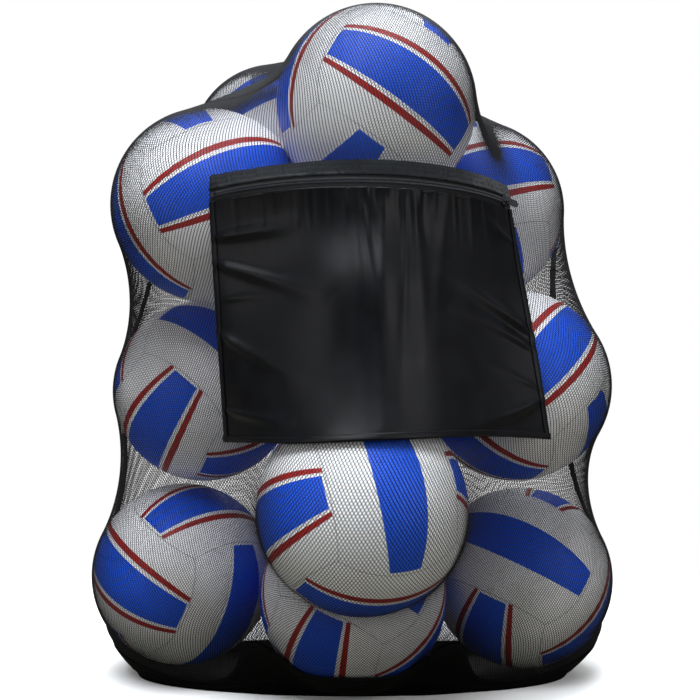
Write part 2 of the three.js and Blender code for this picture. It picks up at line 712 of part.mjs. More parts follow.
// The part of a cloth grid between fractions of its width and height.
function trim(grid, s0, s1, t0, t1, columns, rows) {
  const sample = (s, t) => {
    const [x, y] = [s * (grid[0].length - 1), t * (grid.length - 1)];
    const [i, j] = [Math.min(Math.floor(x), grid[0].length - 2), Math.min(Math.floor(y), grid.length - 2)];
    const low = grid[j][i].clone().lerp(grid[j][i + 1], x - i);
    return low.lerp(grid[j + 1][i].clone().lerp(grid[j + 1][i + 1], x - i), y - j);
  };
  const out = [];
  for (let j = 0; j <= rows; j++) {
    const row = [];
    for (let i = 0; i <= columns; i++) {
      row.push(sample(THREE.MathUtils.lerp(s0, s1, i / columns), THREE.MathUtils.lerp(t0, t1, j / rows)));
    }
    out.push(row);
  }
  return out;
}

function buildPocket() {
  const below = zipEdge(-TAPE.reach - GAP);
  const above = zipEdge(TAPE.reach + GAP);
  const [x0, z0] = POCKET.bottomLeft;
  const [x1, z1] = POCKET.bottomRight;
  const bottom = below.map((_, i) => {
    const s = i / POCKET_COLUMNS;
    const arch = POCKET.bottomArch * Math.sin(Math.PI * s);
    return new THREE.Vector3(THREE.MathUtils.lerp(x0, x1, s), 0, THREE.MathUtils.lerp(z0, z1, s) + arch);
  });
  const panel = drapeCloth(bottom, below, POCKET_ROWS, true);

  const width = x1 - x0;
  const height = ZIP.centre.z - z0;
  const side = POCKET.hem / width;
  const foot = POCKET.hem / height;
  const seam = POCKET.seam / width;
  piece('pocket_front', clothSolid(trim(panel, side, 1 - side, foot, 1, POCKET_COLUMNS, POCKET_ROWS)), NYLON);
  piece('pocket_hem_left', clothSolid(trim(panel, 0, side - seam, foot, 1, 1, POCKET_ROWS)), NYLON);
  piece('pocket_hem_right', clothSolid(trim(panel, 1 - side + seam, 1, foot, 1, 1, POCKET_ROWS)), NYLON);
  piece('pocket_hem_bottom', clothSolid(trim(panel, 0, 1, 0, foot - 2 * seam, POCKET_COLUMNS, 1)), NYLON);

  const rim = above.map(p => p.clone().add(new THREE.Vector3(0, 0, POCKET.topRise)));
  const band = drapeCloth(rim, above, 3, true);
  piece('pocket_top_band', clothSolid(band), NYLON);
}

// ---- Carrying strap -----------------------------------------------------------------------

// The column and row of the back of the net that lie nearest to (x, z).
function placeOnBack(x, z) {
  let best = { miss: Infinity };
  for (let u = 0; u < LEFT_SEAM; u += 0.25) {
    for (let v = 0; v < NET.rows; v += 0.25) {
      const point = onNet(u, v);
      const miss = Math.hypot(point.x - x, point.z - z);
      if (point.y > 0 && miss < best.miss) best = { miss, u, v, point };
    }
  }
  return best;
}

// A patch sewn to the net, with a tab of webbing that stands out to the strap's end.
function buildAnchor(name, z, tabEndY) {
  const { u, v, point } = placeOnBack(STRAP.x, z);
  const rowStep = onNet(u, v - 0.5).distanceTo(onNet(u, Math.min(v + 0.5, NET.rows)));
  const halfColumns = ANCHOR.halfPatch * columnsPerMillimetre(u, v);
  const halfRows = ANCHOR.halfPatch / rowStep;
  const sheet = lift => [-1, 0, 1].map(r => [-1, 0, 1].map(c => {
    const row = THREE.MathUtils.clamp(v + r * halfRows, ANCHOR.lowestRow, NET.rows);
    return onNet(u + c * halfColumns, row, lift);
  }));
  const inner = NET.thickness + ANCHOR.lift;
  const patch = sheetSolid(sheet(inner + ANCHOR.thickness), sheet(inner));
  const start = point.y + inner + ANCHOR.thickness / 2;
  const { halfTab, halfTip, wedge, halfHeight } = ANCHOR;
  const outline = [[-halfTab, start], [halfTab, start], [halfTab, tabEndY - wedge], [halfTip, tabEndY],
    [-halfTip, tabEndY], [-halfTab, tabEndY - wedge]];
  const plan = new THREE.Shape(outline.map(([x, y]) => new THREE.Vector2(STRAP.x + x, y)));
  const tab = new THREE.ExtrudeGeometry(plan, { depth: 2 * halfHeight, bevelEnabled: false });
  piece(name, join(patch, tab.translate(0, 0, z - halfHeight)), WEBBING);
}

function buildStrap() {
  const topY = placeOnBack(STRAP.x, STRAP.topZ).point.y + STRAP.standOut;
  const bottomY = placeOnBack(STRAP.x, STRAP.bottomZ).point.y + STRAP.standOut;
  const middleY = backOfNet(STRAP.x, 60, 120, 600) + STRAP.slack;
  buildAnchor('strap_anchor_top', STRAP.topZ, topY - STRAP.thickness / 2 - ANCHOR.tabGap);
  buildAnchor('strap_anchor_bottom', STRAP.bottomZ, bottomY - STRAP.thickness / 2 - ANCHOR.tabGap);

  const { clip, turn, swell, straight } = STRAP_BEND;
  const line = new THREE.CatmullRomCurve3([
    [topY, STRAP.topZ + clip],
    [topY, STRAP.topZ - clip],
    [(topY + middleY) / 2 + swell, STRAP.topZ - turn],
    [middleY, STRAP.straightTop],
    [middleY, STRAP.straightTop - straight],
    [middleY, STRAP.straightBottom + straight],
    [middleY, STRAP.straightBottom],
    [(bottomY + middleY) / 2 + swell, STRAP.bottomZ + turn],
    [bottomY, STRAP.bottomZ + clip],
    [bottomY, STRAP.bottomZ - clip],
  ].map(([y, z]) => new THREE.Vector3(0, y, z)), false, 'centripetal');
  const [outer, inner] = [[], []];
  const steps = 40;
  for (let i = 0; i <= steps; i++) {
    const [point, tangent] = [line.getPoint(i / steps), line.getTangent(i / steps)];
    const [ny, nz] = [-tangent.z * STRAP.thickness / 2, tangent.y * STRAP.thickness / 2];
    outer.push(new THREE.Vector2(point.y + ny, point.z + nz));
    inner.push(new THREE.Vector2(point.y - ny, point.z - nz));
  }
  const band = new THREE.ExtrudeGeometry(new THREE.Shape([...outer, ...inner.reverse()]), {
    depth: STRAP.width,
    bevelEnabled: false,
  });
  // The outline was drawn in (y, z); this turns it upright and centres its width on the strap's x.
  const left = STRAP.x - STRAP.width / 2;
  const upright = new THREE.Matrix4().set(0, 0, 1, left, 1, 0, 0, 0, 0, 1, 0, 0, 0, 0, 0, 1);
  piece('strap_webbing', band.applyMatrix4(upright), WEBBING);

  const { halfWidth, halfDepth, halfHeight, wall, room } = ADJUSTER;
  const frame = new THREE.Shape([[-1, -1], [1, -1], [1, 1], [-1, 1]].map(([x, y]) => {
    return new THREE.Vector2(x * halfWidth, y * halfDepth);
  }));
  frame.holes.push(new THREE.Path([[-1, -1], [-1, 1], [1, 1], [1, -1]].map(([x, y]) => {
    return new THREE.Vector2(x * (halfWidth - wall), y * (STRAP.thickness / 2 + room));
  })));
  const sleeve = new THREE.ExtrudeGeometry(frame, { depth: 2 * halfHeight, bevelEnabled: false });
  const adjuster = piece('strap_adjuster', sleeve, BLACK_PLASTIC);
  adjuster.position.set(STRAP.x, middleY, STRAP.straightBottom + ADJUSTER.start);
}

buildBalls();
buildNetPanel('net_back_panel', RIGHT_SEAM, LEFT_SEAM);
buildNetPanel('net_front_panel', LEFT_SEAM, NET.columns);
buildSideBinding('side_binding_right', RIGHT_SEAM);
buildSideBinding('side_binding_left', LEFT_SEAM);
buildBase();
buildNeck();
buildCordLock();
buildZip();
buildPocket();
buildStrap();

export default bag;
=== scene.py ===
"""Looks for a mesh ball bag packed with volleyballs. Metres, +Z up, the pocket faces -Y."""

import json
import math

import bmesh
import bpy
import numpy as np
from mathutils import Euler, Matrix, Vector
from mathutils.bvhtree import BVHTree


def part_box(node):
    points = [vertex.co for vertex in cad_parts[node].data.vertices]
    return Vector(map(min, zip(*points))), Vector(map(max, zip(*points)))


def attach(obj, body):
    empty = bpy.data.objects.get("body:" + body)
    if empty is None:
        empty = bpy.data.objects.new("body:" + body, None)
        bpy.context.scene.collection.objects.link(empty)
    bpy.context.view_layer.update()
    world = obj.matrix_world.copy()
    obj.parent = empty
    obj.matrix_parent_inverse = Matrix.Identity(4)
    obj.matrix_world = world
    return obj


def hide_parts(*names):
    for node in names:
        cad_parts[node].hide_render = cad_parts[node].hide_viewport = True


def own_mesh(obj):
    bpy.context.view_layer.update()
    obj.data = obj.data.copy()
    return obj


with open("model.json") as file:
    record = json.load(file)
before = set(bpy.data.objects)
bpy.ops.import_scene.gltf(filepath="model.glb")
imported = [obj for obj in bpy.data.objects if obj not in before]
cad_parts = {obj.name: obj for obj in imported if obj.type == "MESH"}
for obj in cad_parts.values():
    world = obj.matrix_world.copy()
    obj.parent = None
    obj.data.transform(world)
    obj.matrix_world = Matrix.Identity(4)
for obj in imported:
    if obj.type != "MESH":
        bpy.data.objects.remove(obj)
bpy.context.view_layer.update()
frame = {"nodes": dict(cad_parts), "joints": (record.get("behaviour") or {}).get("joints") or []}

MM = 0.001

# ---- Sizes --------------------------------------------------------------------------------

BALL_NAMES = [f"ball_{i:02d}" for i in range(1, 13)]
# How each ball happens to lie in the bag: turns about X, Y and Z, in degrees.
BALL_TURNS = {
    "ball_01": (20, 64, 158), "ball_02": (47, 21, -15), "ball_03": (51, 19, -25),
    "ball_04": (173, -62, 119), "ball_05": (-35, -38, 165), "ball_06": (-140, -28, -67),
    "ball_07": (20, 35, 70), "ball_08": (75, -20, 10), "ball_09": (-21, 16, 109),
    "ball_10": (165, 25, 94), "ball_11": (40, -15, 25), "ball_12": (35, 8, 110),
}
# Angles from the middle of a group of three panel strips, in degrees.
GROUP_END = 53.0            # to the seam past the end of the middle strip
STRIP_SEAM = 15.2           # to the seams between the strips
BLUE_HALF, BLUE_END = 13.5, 51.0
RED_INNER, RED_OUTER, RED_END = 16.2, 20.2, 51.8
BALL_CELLS = 44             # mesh cells along the side of each of a ball's six faces

NET_BACK_SHARE = 0.42       # share of the net's columns that lie on the back panel
NET_LEVELS = [(50, 25, 600), (100, 50, 160), (200, 100, 60), (450, 380, 8)]
NET_EVENING = 5             # how often each level's knots are spread evenly over the cloth
NET_LOWERING = 200
NET_STAND_OFF = 1.0 * MM
NET_STEP = 0.6              # share of the way that a knot moves each round
NET_UPWARD_PULL = 0.64      # pull of the knots above and below; the rest is that of the ones beside
NET_START_TOP = 0.980       # top of the slack bag that is then pulled tight
NET_BULGE = (0.205, 0.300)  # how far the slack bag swells sideways and in depth
NET_FORWARD = 0.075
NET_BOTTOM = 0.004
NET_TOP = 0.736
NECK_RADIUS = 0.019
BASE_SQUARENESS = 2.3
BASE_ROOM = 0.004           # the base sheet reaches this far past the CAD panel on each side
CURVE_STEPS = 24            # points worked out between two given points of a curve
THREAD_WIDTH = 0.64 * MM
THREAD_RIDGE = 0.22 * MM
HOLE_SHARES = (0.5, 0.95)   # least and most of a cell that its hole takes up
HOLE_SHAPE = (1.05, 0.93, 1.05, 0.93)   # a hole's reach to the west, south, east and north
LARGEST_HOLE = 0.98
NET_BANDS = {"net_front_panel": 5, "net_back_panel": 4}     # pieces that each panel is made in


def middle(node):
    low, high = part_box(node)
    return (low + high) / 2


def half_size(node):
    low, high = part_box(node)
    return (high - low) / 2


BALL_RADIUS = half_size("ball_01").x
BALLS = np.array([middle(name) for name in BALL_NAMES])
BASE_HALF = half_size("base_panel") + Vector((BASE_ROOM, BASE_ROOM, 0))
NECK = middle("neck_hem")
NECK_CENTRE = Vector((NECK.x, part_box("neck_hem")[0].y + half_size("neck_hem").x, NECK.z))

# ---- Mesh helpers -------------------------------------------------------------------------


def mesh_piece(name, points, faces, material=None, uvs=None, smooth=True):
    """A new mesh object; uvs holds one (u, v) per point."""
    mesh = bpy.data.meshes.new(name)
    mesh.from_pydata(np.asarray(points, float).reshape(-1, 3), [], faces)
    if material is not None:
        mesh.materials.append(material)
    mesh.polygons.foreach_set("use_smooth", np.full(len(mesh.polygons), smooth))
    if uvs is not None:
        corner = np.empty(len(mesh.loops), np.int32)
        mesh.loops.foreach_get("vertex_index", corner)
        layer = mesh.uv_layers.new(name="UVMap")
        layer.data.foreach_set("uv", np.asarray(uvs, np.float32)[corner].ravel())
    mesh.update()
    piece = bpy.data.objects.new(name, mesh)
    bpy.context.scene.collection.objects.link(piece)
    return piece


def grid_faces(rows, columns, wrap=False, start=0):
    """Quads of a grid of points stored row by row; wrap joins the last column to the first."""
    j, i = np.mgrid[0:rows - 1, 0:columns if wrap else columns - 1]
    after = (i + 1) % columns
    quads = [j * columns + i, j * columns + after, (j + 1) * columns + after, (j + 1) * columns + i]
    return np.stack(quads, -1).reshape(-1, 4) + start


def place(piece, slot, *nodes, body="bag"):
    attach(piece, body)
    if nodes:
        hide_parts(*nodes)
    return piece


def unit(vectors):
    return vectors / np.maximum(np.linalg.norm(vectors, axis=-1, keepdims=True), 1e-12)


def distances(path):
    """How far along the path each of its points lies."""
    return np.concatenate([[0], np.cumsum(np.linalg.norm(np.diff(path, axis=0), axis=1))])


def catmull(points, count):
    """A smooth curve through the points, as count points evenly spaced along it."""
    p = np.array([2 * points[0] - points[1], *points, 2 * points[-1] - points[-2]], float)
    dense = []
    for k in range(1, len(p) - 2):
        for t in np.linspace(0, 1, CURVE_STEPS, endpoint=False):
            a = 2 * p[k] + (p[k + 1] - p[k - 1]) * t
            b = (2 * p[k - 1] - 5 * p[k] + 4 * p[k + 1] - p[k + 2]) * t * t
            c = (3 * p[k] - p[k - 1] - 3 * p[k + 1] + p[k + 2]) * t ** 3
            dense.append((a + b + c) / 2)
    dense.append(p[-2])
    dense = np.array(dense)
    along = distances(dense)
    return blended(dense, along, np.linspace(0, along[-1], count))


def blended(values, along, where):
    """The values, given at distances along a path, read off at the distances where."""
    return np.stack([np.interp(where, along, values[:, k]) for k in range(3)], -1)


def tangents(path):
    return unit(np.gradient(path, axis=0))


def tube_faces(rings, sides):
    """Faces of a tube stored ring by ring, closed at both ends."""
    faces = grid_faces(rings, sides, wrap=True).tolist()
    faces.append(list(range(sides))[::-1])
    faces.append([(rings - 1) * sides + k for k in range(sides)])
    return faces


def band_solid(path, across, outward, half_width, thickness, bulge=0.0, columns=9):
    """A closed flat band along path: rounded edges, its face lifted by bulge in the middle."""
    s = np.linspace(-1, 1, columns)
    edge = np.sqrt(np.clip(1 - np.abs(s) ** 6, 0, 1))
    top = edge * thickness / 2 + bulge * (1 - s ** 2)
    bottom = -edge * thickness / 2 + bulge * (1 - s ** 2)
    ring_s = np.concatenate([s, s[-2:0:-1]])
    ring_h = np.concatenate([top, bottom[-2:0:-1]])
    count = len(ring_s)
    points = (path[:, None] + across[:, None] * (ring_s * half_width)[None, :, None]
              + outward[:, None] * ring_h[None, :, None])
    u = np.tile(ring_s * half_width, len(path))
    v = np.repeat(distances(path), count)
    return points.reshape(-1, 3), tube_faces(len(path), count), np.stack([u, v], -1)


def tube_solid(path, radius, sides, ripple=None):
    """A tube along path. ripple(turn, distance) adds to its radius."""
    direction = tangents(path)
    upright = abs(direction[0, 2]) >= 0.9
    side = unit(np.cross(direction, (1.0, 0.0, 0.0) if upright else (0.0, 0.13, 1.0)))
    for k in range(1, len(path)):  # carries the first side vector along without twist
        side[k] = side[k - 1] - direction[k] * (side[k - 1] @ direction[k])
    side = unit(side)
    other = np.cross(direction, side)
    turn = np.linspace(0, 2 * math.pi, sides, endpoint=False)
    length = distances(path)
    reach = np.full((len(path), sides), radius)
    if ripple is not None:
        reach = reach + ripple(turn[None, :], length[:, None])
    points = (path[:, None] + side[:, None] * (np.cos(turn) * reach)[..., None]
              + other[:, None] * (np.sin(turn) * reach)[..., None])
    uvs = np.stack([np.tile(turn * radius, len(path)), np.repeat(length, sides)], -1)
    return points.reshape(-1, 3), tube_faces(len(path), sides), uvs


STITCH_LENGTH, STITCH_PITCH, STITCH_RADIUS = 2.6 * MM, 3.6 * MM, 0.34 * MM
ROD_SIDES = 6               # sides of a stitch and of a coil's wire
# Rings of one stitch: share of its length, thickness and lift, both as shares of its radius.
STITCH_RINGS = [(0.0, 0.45, -0.3), (0.18, 1.0, 0.25), (0.82, 1.0, 0.25), (1.0, 0.45, -0.3)]


def stitch_row(path, outward):
    """Points and faces of a row of short raised stitches along path."""
    length = distances(path)
    starts = np.arange(STITCH_PITCH / 2, length[-1] - STITCH_LENGTH, STITCH_PITCH)
    first, last = blended(path, length, starts), blended(path, length, starts + STITCH_LENGTH)
    up = unit(blended(outward, length, starts + STITCH_LENGTH / 2))
    side = np.cross(unit(last - first), up)
    points = []
    for t, swell, lift in STITCH_RINGS:
        centre = first + (last - first) * t + up * (lift * STITCH_RADIUS)
        for turn in np.arange(ROD_SIDES) * math.pi / 3:
            offset = side * math.cos(turn) + up * math.sin(turn)
            points.append(centre + offset * STITCH_RADIUS * swell)
    return np.stack(points, 1).reshape(-1, 3), repeated_rods(len(starts), len(STITCH_RINGS))


def repeated_rods(count, rings):
    """Faces of many equal six-sided rods stored one after another, closed at both ends."""
    end = (rings - 1) * ROD_SIDES
    caps = [[0, 5, 4, 3], [0, 3, 2, 1], [end, end + 1, end + 2, end + 3], [end, end + 3, end + 4, end + 5]]
    faces = np.array(grid_faces(rings, ROD_SIDES, wrap=True).tolist() + caps)
    shift = rings * ROD_SIDES * np.arange(count)[:, None, None]
    return (faces[None] + shift).reshape(-1, 4)


def place_stitching(name, slot, lines):
    """One piece with a row of stitches along each (path, outward) line."""
    points, faces, start = [], [], 0
    for path, outward in lines:
        row_points, row_faces = stitch_row(path, outward)
        points.append(row_points)
        faces.append(row_faces + start)
        start += len(row_points)
    place(mesh_piece(name, np.concatenate(points), np.concatenate(faces), THREAD), slot)


# ---- Materials ----------------------------------------------------------------------------


def add(tree, kind, inputs=None, **settings):
    made = tree.nodes.new(kind)
    for key, value in settings.items():
        setattr(made, key, value)
    for key, value in (inputs or {}).items():
        if isinstance(value, bpy.types.NodeSocket):
            tree.links.new(value, made.inputs[key])
        else:
            made.inputs[key].default_value = value
    return made


def math_node(tree, operation, *values):
    return add(tree, "ShaderNodeMath", dict(enumerate(values)), operation=operation).outputs[0]


def new_material(name):
    material = bpy.data.materials.new(name)
    material.use_nodes = True
    return material, material.node_tree, material.node_tree.nodes["Principled BSDF"]


def varied_colour(tree, coordinates, low, high, scale, detail=3.0):
    noise = add(tree, "ShaderNodeTexNoise", {"Vector": coordinates, "Scale": scale, "Detail": detail})
    ramp = add(tree, "ShaderNodeMapRange", {"Value": noise.outputs[0], 1: 0.3, 2: 0.7})
    mix = add(tree, "ShaderNodeMix", {0: ramp.outputs[0]}, data_type="RGBA")
    mix.inputs[6].default_value = (*low, 1)
    mix.inputs[7].default_value = (*high, 1)
    return mix.outputs[2], ramp.outputs[0]


def finish_surface(tree, shader, colour, roughness, height, distance, strength=1.0):
    bump = add(tree, "ShaderNodeBump", {"Height": height, "Distance": distance, "Strength": strength})
    tree.links.new(bump.outputs[0], shader.inputs["Normal"])
    tree.links.new(colour, shader.inputs["Base Color"])
    if isinstance(roughness, bpy.types.NodeSocket):
        tree.links.new(roughness, shader.inputs["Roughness"])
    else:
        shader.inputs["Roughness"].default_value = roughness


def rough_range(tree, value, low, high):
    return add(tree, "ShaderNodeMapRange", {"Value": value, 3: low, 4: high}).outputs[0]


def woven(name, low, high, rough, pitch, distance, specular):
    """Plain weave from the piece's UV, which is in metres."""
    material, tree, shader = new_material(name)
    where = add(tree, "ShaderNodeTexCoord")
    split = add(tree, "ShaderNodeSeparateXYZ", {0: where.outputs["UV"]})
    wave = 2 * math.pi / pitch
    across = math_node(tree, "SINE", math_node(tree, "MULTIPLY", split.outputs[0], wave))
    along = math_node(tree, "SINE", math_node(tree, "MULTIPLY", split.outputs[1], wave))
    weave = math_node(tree, "MULTIPLY", across, along)
    colour, patch = varied_colour(tree, where.outputs["Object"], low, high, 35.0)
    fuzz = add(tree, "ShaderNodeTexNoise", {"Vector": where.outputs["Object"], "Scale": 1800.0})
    height = math_node(tree, "MULTIPLY_ADD", weave, 0.5, fuzz.outputs[0])
    finish_surface(tree, shader, colour, rough_range(tree, patch, *rough), height, distance)
    shader.inputs["Specular IOR Level"].default_value = specular
    return material


def ribbed(name, low, high, rough, pitch, distance, specular=0.15):
    """Binding tape and webbing: ribs across the length, with a finer thread along it."""
    material, tree, shader = new_material(name)
    where = add(tree, "ShaderNodeTexCoord")
    split = add(tree, "ShaderNodeSeparateXYZ", {0: where.outputs["UV"]})
    wave = 2 * math.pi / pitch
    column = math_node(tree, "MULTIPLY", split.outputs[0], wave * 0.8)
    shift = math_node(tree, "MULTIPLY", math_node(tree, "SINE", column), 0.9)
    rib = math_node(tree, "SINE", math_node(tree, "MULTIPLY_ADD", split.outputs[1], wave, shift))
    colour, patch = varied_colour(tree, where.outputs["Object"], low, high, 60.0)
    fuzz = add(tree, "ShaderNodeTexNoise", {"Vector": where.outputs["Object"], "Scale": 1500.0})
    height = math_node(tree, "MULTIPLY_ADD", rib, 0.6, fuzz.outputs[0])
    finish_surface(tree, shader, colour, rough_range(tree, patch, *rough), height, distance)
    shader.inputs["Specular IOR Level"].default_value = specular
    return material


def below(tree, value, base, degrees):
    """1 where the direction with these two parts lies within so many degrees of the base."""
    return math_node(tree, "LESS_THAN", value,
                     math_node(tree, "MULTIPLY", base, math.tan(math.radians(degrees))))


def product(tree, first, *others):
    for value in others:
        first = math_node(tree, "MULTIPLY", first, value)
    return first


def group_marks(tree, normal, run, side):
    """Where the blue strip, the red lines and the seams of one pair of panel groups lie."""
    blue = product(tree, below(tree, run, normal, BLUE_END), below(tree, side, normal, BLUE_HALF))
    not_inner = math_node(tree, "SUBTRACT", 1.0, below(tree, side, normal, RED_INNER))
    red = product(tree, below(tree, run, normal, RED_END), below(tree, side, normal, RED_OUTER),
                  not_inner)
    slope = math_node(tree, "DIVIDE", side, normal)
    seam = math.tan(math.radians(STRIP_SEAM))
    strip_seam = math_node(tree, "ABSOLUTE", math_node(tree, "SUBTRACT", slope, seam))
    outside = math_node(tree, "SUBTRACT", 1.0, below(tree, run, normal, GROUP_END))
    strip_seam = math_node(tree, "ADD", strip_seam, outside)
    # The seam past the strips' ends bows, so that three groups meet at each corner.
    corner = math_node(tree, "DIVIDE", product(tree, side, side), product(tree, normal, run))
    bow = math_node(tree, "MULTIPLY", math_node(tree, "SUBTRACT", 1.0, corner),
                    math.log(math.tan(math.radians(GROUP_END))))
    ratio = math_node(tree, "LOGARITHM", math_node(tree, "DIVIDE", run, normal), math.e)
    end_seam = math_node(tree, "ABSOLUTE", math_node(tree, "SUBTRACT", ratio, bow))
    end_seam = math_node(tree, "ADD", end_seam, math_node(tree, "GREATER_THAN", corner, 1.02))
    return blue, red, strip_seam, end_seam


def ball_panels():
    """White, blue and red synthetic leather, with fine pebbles and sewn seams."""
    material, tree, shader = new_material("ball_panels")
    turned = add(tree, "ShaderNodeAttribute", attribute_name="turned")
    length = add(tree, "ShaderNodeVectorMath", {0: turned.outputs["Vector"]}, operation="NORMALIZE")
    size = add(tree, "ShaderNodeVectorMath", {0: length.outputs[0]}, operation="ABSOLUTE")
    x, y, z = add(tree, "ShaderNodeSeparateXYZ", {0: size.outputs[0]}).outputs
    groups = [group_marks(tree, x, y, z), group_marks(tree, y, z, x), group_marks(tree, z, x, y)]
    blue = product(tree, *[math_node(tree, "SUBTRACT", 1.0, g[0]) for g in groups])
    red = product(tree, *[math_node(tree, "SUBTRACT", 1.0, g[1]) for g in groups[:2]])
    seams = [g[k] for g in groups for k in (2, 3)]
    seam = seams[0]
    for other in seams[1:]:
        seam = math_node(tree, "MINIMUM", seam, other)
    ends = math_node(tree, "MINIMUM", groups[0][3], groups[1][3])
    ends = math_node(tree, "MINIMUM", ends, groups[2][3])
    where = add(tree, "ShaderNodeTexCoord")
    white, patch = varied_colour(tree, where.outputs["Object"], WHITE_LOW, WHITE_HIGH, 22.0, 6.0)
    stitched = add(tree, "ShaderNodeMapRange", {"Value": ends, 1: 0.004, 2: 0.014, 3: 0.45, 4: 1.0})
    colour = add(tree, "ShaderNodeMix", {0: 1.0, 6: white, 7: stitched.outputs[0]}, data_type="RGBA",
                 blend_type="MULTIPLY").outputs[2]
    colour = add(tree, "ShaderNodeMix", {0: red, 6: RED, 7: colour}, data_type="RGBA").outputs[2]
    colour = add(tree, "ShaderNodeMix", {0: blue, 6: BLUE, 7: colour}, data_type="RGBA").outputs[2]
    pebble = add(tree, "ShaderNodeTexVoronoi", {"Vector": where.outputs["Object"], "Scale": 900.0})
    scuff = add(tree, "ShaderNodeTexNoise",
                {"Vector": where.outputs["Object"], "Scale": 240.0, "Detail": 5.0})
    grain = math_node(tree, "MULTIPLY_ADD", scuff.outputs[0], 0.5, pebble.outputs[0])
    groove = add(tree, "ShaderNodeMapRange", {"Value": seam, 1: 0.0, 2: 0.018},
                 interpolation_type="SMOOTHSTEP")
    height = math_node(tree, "MULTIPLY_ADD", groove.outputs[0], 4.0, grain)
    finish_surface(tree, shader, colour, rough_range(tree, patch, 0.42, 0.56), height, 0.0002, 0.6)
    shader.inputs["Specular IOR Level"].default_value = 0.28
    return material


def moulded(name, low, high, rough, specular=0.5):
    material, tree, shader = new_material(name)
    where = add(tree, "ShaderNodeTexCoord")
    grain = add(tree, "ShaderNodeTexVoronoi", {"Vector": where.outputs["Object"], "Scale": 2600.0})
    colour, patch = varied_colour(tree, where.outputs["Object"], low, high, 120.0)
    finish_surface(tree, shader, colour, rough_range(tree, patch, *rough), grain.outputs[0], 0.00006, 0.5)
    shader.inputs["Specular IOR Level"].default_value = specular
    return material


def plated(name, low, high, rough):
    """Zip metal: fine drawn lines and worn patches."""
    material, tree, shader = new_material(name)
    where = add(tree, "ShaderNodeTexCoord")
    stretch = add(tree, "ShaderNodeMapping", {"Vector": where.outputs["Object"], "Scale": (300, 300, 4000)})
    lines = add(tree, "ShaderNodeTexNoise", {"Vector": stretch.outputs[0], "Scale": 1.0, "Detail": 2.0})
    colour, patch = varied_colour(tree, where.outputs["Object"], low, high, 400.0)
    finish_surface(tree, shader, colour, rough_range(tree, patch, *rough), lines.outputs[0], 0.00003, 0.4)
    shader.inputs["Metallic"].default_value = 1.0
    return material


def net_yarn():
    material, tree, shader = new_material("net_yarn")
    where = add(tree, "ShaderNodeTexCoord")
    fibre = add(tree, "ShaderNodeTexNoise", {"Vector": where.outputs["Object"], "Scale": 2400.0})
    colour, patch = varied_colour(tree, where.outputs["Object"], (0.0035, 0.0035, 0.0040),
                                  (0.0070, 0.0070, 0.0080), 70.0)
    finish_surface(tree, shader, colour, rough_range(tree, patch, 0.6, 0.8), fibre.outputs[0], 0.0001, 0.5)
    shader.inputs["Specular IOR Level"].default_value = 0.12
    return material


NET_YARN = net_yarn()
NYLON = woven("satin_nylon", (0.0009, 0.0010, 0.0016), (0.0015, 0.0017, 0.0026), (0.32, 0.42),
              0.55 * MM, 0.00003, 0.10)
BAND_CLOTH = woven("band_cloth", (0.0015, 0.0020, 0.0026), (0.0040, 0.0050, 0.0062), (0.45, 0.6),
                   1.6 * MM, 0.0008, 0.09)
TAPE_CLOTH = woven("zip_tape_cloth", (0.0020, 0.0021, 0.0026), (0.0040, 0.0041, 0.0050), (0.5, 0.6),
                   0.7 * MM, 0.00015, 0.15)
BINDING_CLOTH = ribbed("binding_tape", (0.0008, 0.0008, 0.0010), (0.0018, 0.0018, 0.0022), (0.6, 0.75),
                       1.1 * MM, 0.0002, 0.05)
WEBBING_CLOTH = ribbed("strap_webbing", (0.0035, 0.0035, 0.0042), (0.0075, 0.0075, 0.0085), (0.5, 0.65),
                       1.8 * MM, 0.0005)
THREAD = ribbed("sewing_thread", (0.0030, 0.0030, 0.0036), (0.0060, 0.0060, 0.0072), (0.5, 0.65),
                0.5 * MM, 0.0001, 0.08)
CORD_YARN = ribbed("cord_yarn", (0.0040, 0.0040, 0.0048), (0.0080, 0.0080, 0.0095), (0.5, 0.65),
                   0.5 * MM, 0.0001)
WHITE_LOW, WHITE_HIGH = (0.80, 0.80, 0.83), (0.86, 0.86, 0.88)
BLUE, RED = (0.001, 0.080, 0.66, 1), (0.34, 0.008, 0.006, 1)
BALL_PANELS = ball_panels()
COIL_PLASTIC = moulded("coil_plastic", (0.006, 0.006, 0.008), (0.010, 0.010, 0.012), (0.45, 0.6), 0.2)
DARK_PLATING = plated("dark_plating", (0.07, 0.07, 0.08), (0.12, 0.12, 0.13), (0.25, 0.4))
BLACK_PLASTIC = moulded("black_acetal", (0.014, 0.014, 0.016), (0.022, 0.022, 0.024), (0.35, 0.5))
STEEL = plated("zip_steel", (0.50, 0.51, 0.53), (0.64, 0.65, 0.67), (0.22, 0.38))

# ---- Balls --------------------------------------------------------------------------------


def ball_mesh():
    """Directions and faces of a ball made of six curved grids."""
    share = np.tan(np.linspace(-math.pi / 4, math.pi / 4, BALL_CELLS + 1))
    along, across = np.meshgrid(share, share, indexing="ij")
    points, faces = [], []
    for axis in range(3):
        for sign in (1, -1):
            normal, run = np.zeros(3), np.zeros(3)
            normal[axis], run[(axis + 1) % 3] = sign, 1
            side = np.cross(normal, run)
            points.append(unit(normal + along[..., None] * run + across[..., None] * side).reshape(-1, 3))
            faces.append(grid_faces(len(share), len(share), start=len(faces) * len(share) ** 2))
    return np.concatenate(points), np.concatenate(faces)


